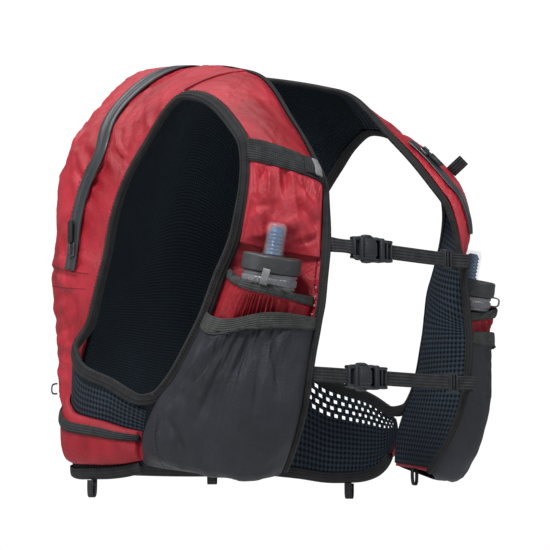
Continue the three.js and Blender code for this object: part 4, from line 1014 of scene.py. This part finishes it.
# Side wings
def wing_pieces(side, left, hem):
    base = wing_base(hem)
    us = np.linspace(-0.03, 1.05, 81)
    ts = np.concatenate([np.linspace(0, 0.06, 3), np.linspace(0.06, 0.42, 19)[1:],
        np.linspace(0.42, 1, 16)[1:]])

    def holes(i, j):
        col, row = i // 2, (j - 2) // 2
        inside = (j >= 2) & (j < 20) & (i > 3) & (i < 72)
        return inside & (j < 16) & (col % 2 == (row // 2) % 2) & (row % 2 == 0)
    net = sheet_of(f"wing_net_{side}", over(base, LINING_WALL), us, ts, 1.2, left,
        holes=holes if left else None)
    dress(net, WING_NET, "lining_mesh", f"side_wing_{side}")
    skin = wing_pocket_skin(hem)

    def fold(u, t, points):
        room = (smooth(u / 0.05) * smooth((1 - u) / 0.05) * smooth((t - 0.42) / 0.05)
            * smooth((0.93 - t) / 0.05))
        free = 1 - np.exp(-((t - 0.55) / 0.08) ** 2)
        return (0.8 * wrinkle(points, 30, 91 + left, 0.6) + 0.4 * np.sin(u * 46 + 3 * t)) * room * free
    pocket = sheet_of(f"wing_pocket_cloth_{side}", skin, dense(-0.02, 1.04, 80),
        np.linspace(0.42, 0.93, 40), 1.0,
                      left, fold=fold)
    dress(pocket, RED_STRETCH, "shell_red", f"wing_pocket_{side}")
    us = dense(-0.02, 1.04, 80)

    def lift(u, t, points):
        return GAP + BAND_WALL - 0.6 * np.abs(2 * (t - 0.5) / 0.1 - 1) ** 5
    elastic = sheet_of(f"wing_elastic_{side}", skin, us, np.linspace(0.5, 0.6, 10), 1.3, left, fold=lift)
    dress(elastic, DARK_ELASTIC, "elastic_band", f"wing_band_{side}")


wing_pieces("right", False, "hemDown")
wing_pieces("left", True, "lobeDown")

# Bindings and tapes
arm_front = edge_of(front_base, 1.0, np.linspace(17, 0, 170))
arm_back = edge_of(back_base, 0.0, np.linspace(0.05, 9.7, 120))
arm_wing = edge_of(wing_base("hemDown"), np.linspace(0.9, 0.05, 50), 0.0)
armhole = resampled(joined(arm_front, arm_back, arm_wing), 2.0, True, 3)
for side, left in SIDES:
    piece = swept(f"armhole_tape_{side}", armhole, fold_profile(1, 0.0, 4.3), True, left)
    dress(piece, BINDING, "binding_tape", f"armhole_binding_{side}")

front_edge = edge_of(front_base, 0.0, np.linspace(19, 0, 200))
neck_edge = edge_of(back_base, 1.0, np.linspace(0.05, 3.7, 60))
neck_mid = (v3(0.0, *back_base(1.0, 4.0)[1:])[None], unit(np.array([[0.0, 1.0, 2.0]])))
half_edge = joined(front_edge, neck_edge)
whole_edge = resampled(joined(half_edge, neck_mid, mirrored_line(half_edge)), 2.0, False, 3)
dress(swept("neck_and_front_tape", whole_edge, fold_profile(-1, 0.3, 3.6, 0.6, 6.6)), BINDING, "binding_tape",
      "front_edge_tape")


def hem_half(hem, first):
    return joined(edge_of(wing_base(hem), np.linspace(first, 0.98, 60), 1.0),
                  edge_of(back_base, np.linspace(0.12, 0.9, 40), 15.0))


hem_line = resampled(joined(hem_half("hemDown", 0.02), mirrored_line(hem_half("lobeDown", 0.08))), 2.0,
    False, 3)
dress(swept("hem_binding", hem_line, fold_profile(1, 0.0, 4.0)), BINDING, "binding_tape", "hem_tape")


# Zips
def zip_profile(width):
    h = width / 2
    return [(-h, 0), (-h, 0.5), (-h * 0.75, 1.1), (-1.5, 1.3), (-1.1, 0.8), (-0.5, 0.75), (0, 1.0),
        (0.5, 0.75),
            (1.1, 0.8), (1.5, 1.3), (h * 0.75, 1.1), (h, 0.5), (h, 0)]


zip_line = resampled(joined(zip_half, mirrored_line((zip_half[0][:-1], zip_half[1][:-1]))), 1.6, False, 8)
zip_line = (zip_line[0] + zip_line[1] * 1.4, zip_line[1])
dress(swept("main_zip_band", zip_line, zip_profile(16.5)), ZIP_COAT, "coated_zip", "main_zip")


def slab(bm, low, high, place):
    """A block between two corners, put in place by a function of points."""
    verts = []
    for x in (low[0], high[0]):
        for y in (low[1], high[1]):
            for z in (low[2], high[2]):
                verts.append(bm.verts.new(tuple(np.asarray(place(np.array([x, y, z]))) * 0.001)))
    for f in ((0, 1, 3, 2), (4, 6, 7, 5), (0, 4, 5, 1), (2, 3, 7, 6), (0, 2, 6, 4), (1, 5, 7, 3)):
        bm.faces.new([verts[i] for i in f])


def rounded_blocks(name, blocks, place, bevel=0.8, segments=3):
    bm = bmesh.new()
    for low, high in blocks:
        slab(bm, low, high, place)
    bmesh.ops.recalc_face_normals(bm, faces=bm.faces)
    mesh = bpy.data.meshes.new(name)
    bm.to_mesh(mesh)
    bm.free()
    obj = linked(name, mesh)
    mod = obj.modifiers.new("round", "BEVEL")
    mod.width = bevel * 0.001
    mod.segments = segments
    mod.limit_method = "ANGLE"
    return applied(obj)


def zip_runner(name, line, seat, node, left, size=1.0):
    """A slider with its bridge, on a zip, and its pull tab."""
    (points, normals) = line
    along, side, up = frames(points, normals)
    flip = np.array([-1.0, 1, 1]) if left else np.ones(3)

    def place(local):
        p = points[0] + along[0] * local[0] + side[0] * local[1] + up[0] * (local[2] + seat)
        return p * flip
    k = size
    body = rounded_blocks(f"{name}_slider_body", [((-6 * k, -4.4 * k, 0.4), (6 * k, 4.4 * k, 2.6)),
                                                  ((-4 * k, -1.3 * k, 2.4), (-2.4 * k, 1.3 * k, 4.6)),
                                                  ((2.6 * k, -1.3 * k, 2.4), (4.2 * k, 1.3 * k, 4.6)),
                                                  ((-4 * k, -1.3 * k, 4.0), (4.2 * k, 1.3 * k, 5.0))],
                                                  place, 0.5)
    dress(body, METAL, "zip_metal", f"{node}_slider")

    def place_pull(local):
        p = points[0] + along[0] * (local[0] + 3 * k) + side[0] * local[1] + up[0] * (local[2] + seat + 3.2)
        return p * flip
    pull = rounded_blocks(f"{name}_pull_tab", [((2, -1.2, -0.6), (6, 1.2, 0.8)),
        ((4, -3.4 * k, -0.9), (24 * k, 3.4 * k, 1.1)),
                                               ((8, -2.2 * k, 0.9), (22 * k, 2.2 * k, 1.6))], place_pull, 0.5)
    dress(pull, PULL, "coated_zip", f"{node}_pull")


zip_runner("main_zip", edge_of(pack_skin, 0.026, np.linspace(7.35, 6.6, 8)), 2.1, "main_zip", False)
zipped = pocket_skin(ZIPPED)
chest_zip = resampled(edge_of(zipped, 0.17, np.linspace(3.4, 7.4, 60)), 1.6, False, 2)
chest_zip = (chest_zip[0] + chest_zip[1] * 1.4, chest_zip[1])
dress(swept("chest_zip_band", chest_zip, zip_profile(9), left=True), ZIP_COAT, "coated_zip", "chest_zip_left")
zip_runner("chest_zip", edge_of(zipped, 0.17, np.linspace(3.9, 4.8, 8)), 2.6, "chest_zip_left", True, 0.8)

# Flasks
flask_axis = np.array([0, -math.sin(FLASK_LEAN), math.cos(FLASK_LEAN)])
cap_centre = lifted(front_base, 0.5, CAP_ROW, PANEL_WALL + 2 + CAP_RADIUS)
lean = np.array([[1, 0, 0], [0, math.cos(FLASK_LEAN), -math.sin(FLASK_LEAN)],
                 [0, math.sin(FLASK_LEAN), math.cos(FLASK_LEAN)]])
collar_top = -CAP_HEIGHT / 2 - GAP
collar_foot = collar_top - COLLAR_HEIGHT


def lathe(name, profile, foot, left, sides=96, step=0.0, stand=None):
    """A turned solid on the flask's axis; stand adds to its radius by angle and height."""
    pts = [np.array(profile[0], float)]
    for p in profile[1:]:
        p = np.array(p, float)
        count = max(1, int(np.linalg.norm(p - pts[-1]) / step)) if step else 1
        a = pts[-1]
        pts += [a + (p - a) * (k + 1) / count for k in range(count)]
    pts = np.array(pts)
    pts[:, 0] = np.maximum(pts[:, 0], 0.02)
    theta = np.linspace(0, 2 * PI, sides, endpoint=False)[:, None]
    r, z = pts[None, :, 0] + 0 * theta, pts[None, :, 1] + 0 * theta
    if stand is not None:
        r = r + stand(theta, z, r)
    local = v3(r * np.cos(theta), r * np.sin(theta), z)
    points = cap_centre + flask_axis * foot + local @ lean.T
    if left:
        points = mirror_x(points)
    uv = np.stack(np.meshgrid(theta[:, 0] * 2, np.arange(len(pts)) * 0.1, indexing="ij"), -1)
    obj = from_arrays(name, points, faced_out(points, grid_faces(sides, len(pts), False, True)), uv)
    bm = bmesh.new()
    bm.from_mesh(obj.data)
    bmesh.ops.remove_doubles(bm, verts=bm.verts, dist=5e-5)
    bm.to_mesh(obj.data)
    bm.free()
    return obj


def chevrons(theta, z, r):
    """Raised arrow marks round the cap's side, as a grip."""
    cell = theta / (2 * PI) * 12
    local = np.abs(cell % 1 - 0.5) * 2
    mark = np.abs((z - 6.5) / 4.2 - (local - 0.5) * 1.1)
    side = smooth((r - 24.6) / 0.8) * smooth((z - 2) / 1) * smooth((12.2 - z) / 1)
    return 1.3 * side * smooth((0.42 - mark) / 0.16)


def knurls(theta, z, r):
    return (0.35 * np.sign(np.sin(theta * 40)) * smooth((r - 22.2) / 0.3) * smooth((z - 3) / 0.5)
        * smooth((9 - z) / 0.5))


def flask_body(side, left):
    """The soft film body: an oval bag down into its pocket, with creases."""
    count = 60
    t = np.linspace(0, 2 * PI, count, endpoint=False)
    rings = []
    thick = unit(np.cross(front_base(0.4, CAP_ROW) - front_base(0.6, CAP_ROW), flask_axis))
    wide = unit(np.cross(thick, flask_axis))

    def ring(centre, across, deep, width, depth):
        return centre + across * (width * np.cos(t))[:, None] + deep * (depth * np.sin(t))[:, None]
    foot = cap_centre + flask_axis * (collar_foot - GAP)
    rings.append(ring(foot, wide, thick, 19.0, 19.0))
    rings.append(ring(foot - flask_axis * 9, wide, thick, 22.0, 19.0))
    for w, share in zip(FLASK_SECTIONS["row"], FLASK_SECTIONS["width"]):
        room = 54 * float(np.interp(w, FLASK_POCKET["row"], FLASK_POCKET["depth"]))
        half = room / 2 - 4
        centre = lifted(front_base, 0.5, w, PANEL_WALL + room / 2)
        across = unit(front_base(0.6, w) - front_base(0.4, w))
        rings.append(ring(centre, across, normal_of(front_base, 0.5, w), 29 * share, half))
    rings = np.array(rings)
    at = np.linspace(0, len(rings) - 1, 50)
    fine = np.stack([[between(rings[:, i, c], at) for c in range(3)] for i in range(count)],
        0).transpose(2, 0, 1)
    middle = fine.mean(1, keepdims=True)
    dents = 1 + 0.02 * wrinkle(fine, 26, 101, 0.8) * smooth(np.arange(50)[:, None] / 8)
    fine = middle + (fine - middle) * dents[..., None]
    if left:
        fine = mirror_x(fine)
    return dress(tube(f"flask_film_{side}", fine), FILM, "flask_film", f"flask_body_{side}")


for side, left in SIDES:
    flask_body(side, left)
    dress(lathe(f"flask_collar_ring_{side}", [(0, 0), (21, 0), (22.2, 0.6), (22.6, 1.6), (22, 2.4),
        (22, 3.2), (22.8, 4),
                                              (22.8, 8.6), (22, 9.2), (22, 10.2), (22.8, 11), (22.6, 13),
                                              (0, 13)],
                collar_foot, left, 120, 0.7, knurls), COLLAR, "collar_plastic", f"flask_collar_{side}")
    dress(lathe(f"flask_cap_grip_{side}", [(0, 0), (23.6, 0), (24.8, 0.8), (24.9, 2.2), (24.6, 12.4),
        (23.8, 13.6),
                                           (22.2, 14), (14, 14), (13, 13.2), (11, 13.2), (10, 14), (0, 14)],
                -CAP_HEIGHT / 2, left, 168, 0.5, chevrons), CAP, "cap_plastic", f"flask_cap_{side}")
    valve_foot = CAP_HEIGHT / 2 + GAP
    core = [(0, 0), (6.6, 0), (6.8, 1), (5.6, 2)]
    for k in range(6):
        core += [(5.2, 3.0 + 3 * k), (6.0, 3.6 + 3 * k), (6.0, 4.8 + 3 * k), (5.2, 5.4 + 3 * k)]
    core += [(4.4, 22.2), (3.4, 23.2), (0, 23.4)]
    dress(lathe(f"valve_bellows_{side}", core, valve_foot, left, 40), VALVE, "valve_blue",
        f"valve_core_{side}")
    sheath = [(7.4, 0), (9.0, 0), (9.1, 1.4), (8.5, 2.2), (8.4, 8), (8.0, 8.8), (8.4, 9.6), (8.4, 22.5),
        (7.6, 25.4),
              (6.0, 26.8), (0, 27), (0, 25.9), (5.6, 25.7), (6.8, 24.6), (7.4, 22)]
    dress(lathe(f"valve_cover_{side}", sheath + [(7.4, 0)], valve_foot, left, 56), SHEATH, "sheath_clear",
          f"valve_sheath_{side}")


# Sternum straps
def webbing(name, points, normals, node, twist=0.0, width=12.6):
    line = resampled((np.array(points, float), np.array(normals, float)), 1.6, False, 2)
    count = len(line[0])
    turn = twist * np.sin(np.linspace(0, PI, count)) if twist else None
    rib = strip(width, 1.7, None, -0.85, 0.6, 0.15)
    return dress(swept(name, line, rib, turn=turn), WEBBING, "webbing", node)


def sternum(name, row, far_skin, far_places, buckle_at, lift, stub):
    edge = front_base(0.0, row)
    outward_way = unit((edge - front_base(0.3, row)) * np.array([1, 1, 0]))
    n = normal_of(front_base, 0.0, row)
    outward = unit(np.array([-n[0], n[1], 0]))
    start = edge + outward_way * (EDGE_GAP + BINDING_WIDTH + stub)
    front = np.array([0.0, -1.0, 0.0])
    flat = lambda x, dy=0.0, dz=0.0: np.array([x, start[1] + dy, start[2] + dz])
    end = buckle_at + 50
    webbing(f"{name}_webbing_right", [flat(start[0] - 2), flat((start[0] + buckle_at) / 2, -0.6),
        flat(buckle_at + 3)],
            [front] * 3, f"{name}_strap_right", 0.35 if name == "upper" else 0.0)
    turn_x = -start[0] - 12
    face = 0.6 + TAPE_WALL
    tape_edge = EDGE_GAP + BINDING_WIDTH
    over_tape = []
    for out, height in ((tape_edge + 4, 4), (tape_edge + 1.5, face + lift - 1.2), (-0.5, face + lift - 1.2)):
        over_tape.append(edge * [-1, 1, 1] + outward_way * [-1, 1, 0] * out + outward * height)
    points = [flat(end - 3), flat((end + turn_x) / 2, -0.8, -0.3), flat(turn_x)] + over_tape
    normals = [front] * 3 + [outward] * 3
    if far_places:
        far, far_n = edge_of(far_skin, np.array(far_places), row)
        for p, m in zip(far, far_n):
            way = unit(np.array([-m[0], m[1], 0]))
            points.append(p * [-1, 1, 1] + way * lift)
            normals.append(way)
    webbing(f"{name}_webbing_left", points, normals, f"{name}_strap_left")

    def place(local):
        return np.array([buckle_at, start[1], start[2]]) + local
    def rails(a, b, z0, z1, y=3.2):
        return [((a, -y, z0), (b, y, z1)), ((a, -y, -z1), (b, y, -z0))]
    female = [((8.5, -4.2, -9.4), (31.5, 4.2, 9.4)), ((12, -4.7, -6.4), (28, 4.7, 6.4)),
              ((-0.5, -2.6, -7.8), (2.8, 2.6, 7.8)), ((24.5, -4.2, -10.6), (31.5, 4.2, 10.6)),
              ((6.5, -4.2, -10.2), (12.5, 4.2, 10.2))] + rails(-0.5, 9, 6.4, 9.4)
    dress(rounded_blocks(f"{name}_buckle_shell", female, place, 1.7, 4), BUCKLE, "buckle_plastic",
          f"{name}_buckle_socket")
    male = [((32, -4.1, -10.4), (38.4, 4.1, 10.4)), ((42.2, -2.4, -8), (45, 2.4, 8)),
        ((47.4, -2.6, -8), (50.2, 2.6, 8))]
    male += rails(36, 50.2, 6.6, 9.4) + rails(12.6, 24.4, 8.4, 11.4, 2.8) + rails(14, 22, 9, 12, 3.2)
    dress(rounded_blocks(f"{name}_buckle_prongs", male, place, 1.3, 4), BUCKLE, "buckle_plastic",
          f"{name}_buckle_plug")

    def place_slider(local):
        return np.array([turn_x - 10, start[1], start[2]]) + local
    frame_blocks = [((-5, -2.6, 6.6), (5, 2.6, 8.7)), ((-5, -2.6, -8.7), (5, 2.6, -6.6)),
        ((-5, -2.8, -8), (-3, 1.5, 8)),
                    ((3, -2.8, -8), (5, 1.5, 8)), ((-1.1, -2.4, -8), (1.1, -1.1, 8))]
    dress(rounded_blocks(f"{name}_ladder", frame_blocks, place_slider, 0.7, 3), BUCKLE, "buckle_plastic",
          f"{name}_slider")
    box = rounded_blocks(f"{name}_keeper", [((-17, -2.2, -7.8), (-13, 2.2, 7.8))],
                         lambda l: np.array([turn_x, start[1], start[2]]) + l, 0.6, 2)
    dress(box, DARK_ELASTIC, "elastic_band")


sternum("upper", UPPER_ROW, zipped, [0.06, 0.13, 0.2], -62, 4.6, 0.3)
sternum("lower", LOWER_ROW, zipped, [], -62, 5.8, -0.4)


# Loops and tabs
def loop(name, foot, across, along, length, width, spread, mat, slot, node, left=False, wall=1.3):
    """A folded end of tape that stands off from a seam."""
    t = np.linspace(0, PI, 25)
    out = np.sin(t) ** 0.45
    off = -np.cos(t)
    off = np.sign(off) * np.abs(off) ** 0.7
    points = foot + across * (off * spread)[:, None] + along * (0.35 + out * (length - 0.35))[:, None]
    side = np.cross(along, across)
    tangent = unit(np.gradient(points, axis=0))
    normals = np.cross(tangent, unit(side)[None])
    obj = swept(name, (points, normals), strip(width, wall, None, -wall / 2, 0.4), left=left)
    return dress(obj, mat, slot, node)


down = np.array([0.0, 0.0, -1.0])
panel_foot, panel_n = edge_of(front_base, 0.5, 19.0)
for side, left in SIDES:
    loop(f"front_webbing_loop_{side}", panel_foot + panel_n * PANEL_WALL, panel_n, down, 15, 8, 2.2, WEBBING,
         "webbing", f"front_loop_{side}", left)
for side, left, hem in (("right", False, "hemDown"), ("left", True, "lobeDown")):
    p, n = edge_of(wing_base(hem), 0.5, 1.0)
    loop(f"hip_webbing_loop_{side}", p + down * 7 + n * LINING_WALL, n, down, 15, 8, 2.2, WEBBING, "webbing",
         f"hip_loop_{side}", left)
flask_band_skin = over(pocket_skin(FLASK), GAP + BAND_WALL)
top, foot = flask_band_skin(0.4, 11.0), flask_band_skin(0.4, 12.0)
n = normal_of(flask_band_skin, 0.4, 11.0)
loop("flask_pull_loop_right", top, n, unit(top - foot), 13, 6, 1.1, REFLECT, "reflective_tape",
    "flask_band_loop_right")
p, n = edge_of(pack_skin, 0.1, 11.4)
loop("pack_cord_loop_right", p, np.array([0, 0, 1.0]), n, 5.5, 6, 4.6, WEBBING, "webbing",
    "pack_side_loop_right")
p, n = edge_of(zipped, 0.55, 4.7)
across = unit(front_base(1.0, 4.7) - front_base(0.0, 4.7))
loop("shoulder_webbing_tab_left", p, across, n, 16, 11, 1.5, WEBBING, "webbing", "shoulder_tab_left", True)
sideways = np.array([-1.0, -1.0, 0.0])
sideways = unit(sideways - flask_axis * (sideways @ flask_axis))
collar_side = cap_centre + flask_axis * (collar_top - 3) + sideways * COLLAR_RADIUS
loop("flask_ring_left", collar_side, flask_axis, sideways, 7.5, 4, 4.0, COLLAR, "collar_plastic",
     "flask_finger_loop_left", True)
chest_band_skin = over(pocket_skin(CHEST), GAP + BAND_WALL)
tab = edge_of(chest_band_skin, 0.14, np.linspace(4.92, 6.08, 14))
dress(swept("chest_light_tab", tab, strip(7, 1.0, None, 1.2, 0.3, 0.3)), REFLECT, "reflective_tape",
      "chest_band_tab_right")
dark_tab = edge_of(chest_band_skin, 0.24, np.linspace(4.92, 6.08, 14))
dress(swept("chest_dark_tab", dark_tab, strip(9, 0.7, None, 0.7, 0.3, 0.2)), DARK_ELASTIC, "elastic_band")

# Stitching: pitch, length and width of a stitch in each thread
RED_STITCH = (3.4, 2.4, 0.8)
red_runs, dark_runs, light_runs = [], [], []


def pack_points(u, w):
    """Points of the folded pack cloth, for threads that lie on it."""
    p = pack_skin(u, w)
    return p + normal_of(pack_skin, u, w) * pack_fold(u, w, p, False)[..., None]


for offset in (-0.09, 0.32):
    us = np.concatenate([np.linspace(0.004, 0.06, 40), np.linspace(0.06, 1, 60)[1:]])
    line = (pack_points(us, np.full_like(us, PACK_SEAM + offset)),
        normal_of(pack_skin, us, PACK_SEAM + offset))
    for left in (False, True):
        red_runs.append(spans(line, *RED_STITCH, 0.35, 0.15, left=left))
for gap_mm in (-9.2, 9.2):
    red_runs.append(spans((zip_half[0][:120], zip_half[1][:120]), *RED_STITCH, 0.4, 0.9, gap_mm))
arm_seam_front = edge_of(front_skin, 0.93, np.linspace(0.4, 5.0, 90))
inner_seam_front = edge_of(front_skin, 0.07, np.linspace(0.4, 10.6, 150))
for left in (False, True):
    red_runs.append(spans(arm_seam_front, *RED_STITCH, 0.35, 0.5, left=left))
    red_runs.append(spans(inner_seam_front, *RED_STITCH, 0.35, 0.5, left=left))
threads("red_stitching", red_runs, THREAD_RED, "shell_red")
for left in (False, True):
    for at in (1.2, 5.2):
        dark_runs.append(spans(armhole, 3.2, 2.3, 0.7, 0.3, 5.25, -at, left=left))
gusset = edge_of(pocket_skin(LOWER), np.linspace(0.94, 0.8, 30), np.linspace(17.1, 18.6, 30))
for left in (False, True):
    dark_runs.append(spans(gusset, 3.2, 2.2, 0.8, 0.4, 0.6, left=left))
threads("dark_stitching", dark_runs, THREAD_DARK, "binding_tape")
dot_line = edge_of(front_base, 0.0, np.linspace(10.2, 18.8, 140))
for left in (False, True):
    light_runs.append(spans(dot_line, 8.0, 1.8, 1.4, 0.35, 4.5, 3.4, left=left))
threads("light_dots", light_runs, THREAD_LIGHT, "reflective_tape")

# Studio
world = bpy.data.worlds.new("studio")
scene.world = world
world.use_nodes = True
nodes, links = world.node_tree.nodes, world.node_tree.links
nodes.clear()
out = nodes.new("ShaderNodeOutputWorld")
seen, fill = nodes.new("ShaderNodeBackground"), nodes.new("ShaderNodeBackground")
seen.inputs["Color"].default_value = (1, 1, 1, 1)
seen.inputs["Strength"].default_value = 1.05
fill.inputs["Color"].default_value = (0.93, 0.96, 1, 1)
fill.inputs["Strength"].default_value = 0.24
path, choose = nodes.new("ShaderNodeLightPath"), nodes.new("ShaderNodeMixShader")
links.new(path.outputs["Is Camera Ray"], choose.inputs[0])
links.new(fill.outputs[0], choose.inputs[1])
links.new(seen.outputs[0], choose.inputs[2])
links.new(choose.outputs[0], out.inputs[0])


def softbox(name, place, size, power, colour=(1, 1, 1)):
    data = bpy.data.lights.new(name, "AREA")
    data.shape = "DISK"
    data.size = size
    data.energy = power
    data.color = colour
    obj = bpy.data.objects.new(name, data)
    scene.collection.objects.link(obj)
    aim(obj, place, (0, 0, -0.18))


softbox("key", (-1.5, -0.5, 1.5), 0.7, 42)
softbox("front", (0.7, -2.1, 0.7), 1.2, 13)
softbox("top", (-0.2, 0.9, 1.7), 1.0, 13)
softbox("side", (-2.2, 0.9, -0.1), 1.2, 6)
floor_mesh = bpy.data.meshes.new("floor")
floor_mesh.from_pydata([(-4, -4, -1.1), (4, -4, -1.1), (4, 4, -1.1), (-4, 4, -1.1)], [], [(0, 1, 2, 3)])
floor = linked("floor", floor_mesh)
floor_mat = Mat("floor_paint", 0.9, 0.2)
floor_mat.color(floor_mat.ramp(floor_mat.noise(3), [(0.2, (243, 243, 243)), (0.8, (250, 250, 250))]))
floor_mesh.materials.append(floor_mat.mat)
scene.view_settings.view_transform = "Standard"
scene.view_settings.look = "None"
scene.view_settings.exposure = 0
scene.view_settings.gamma = 1
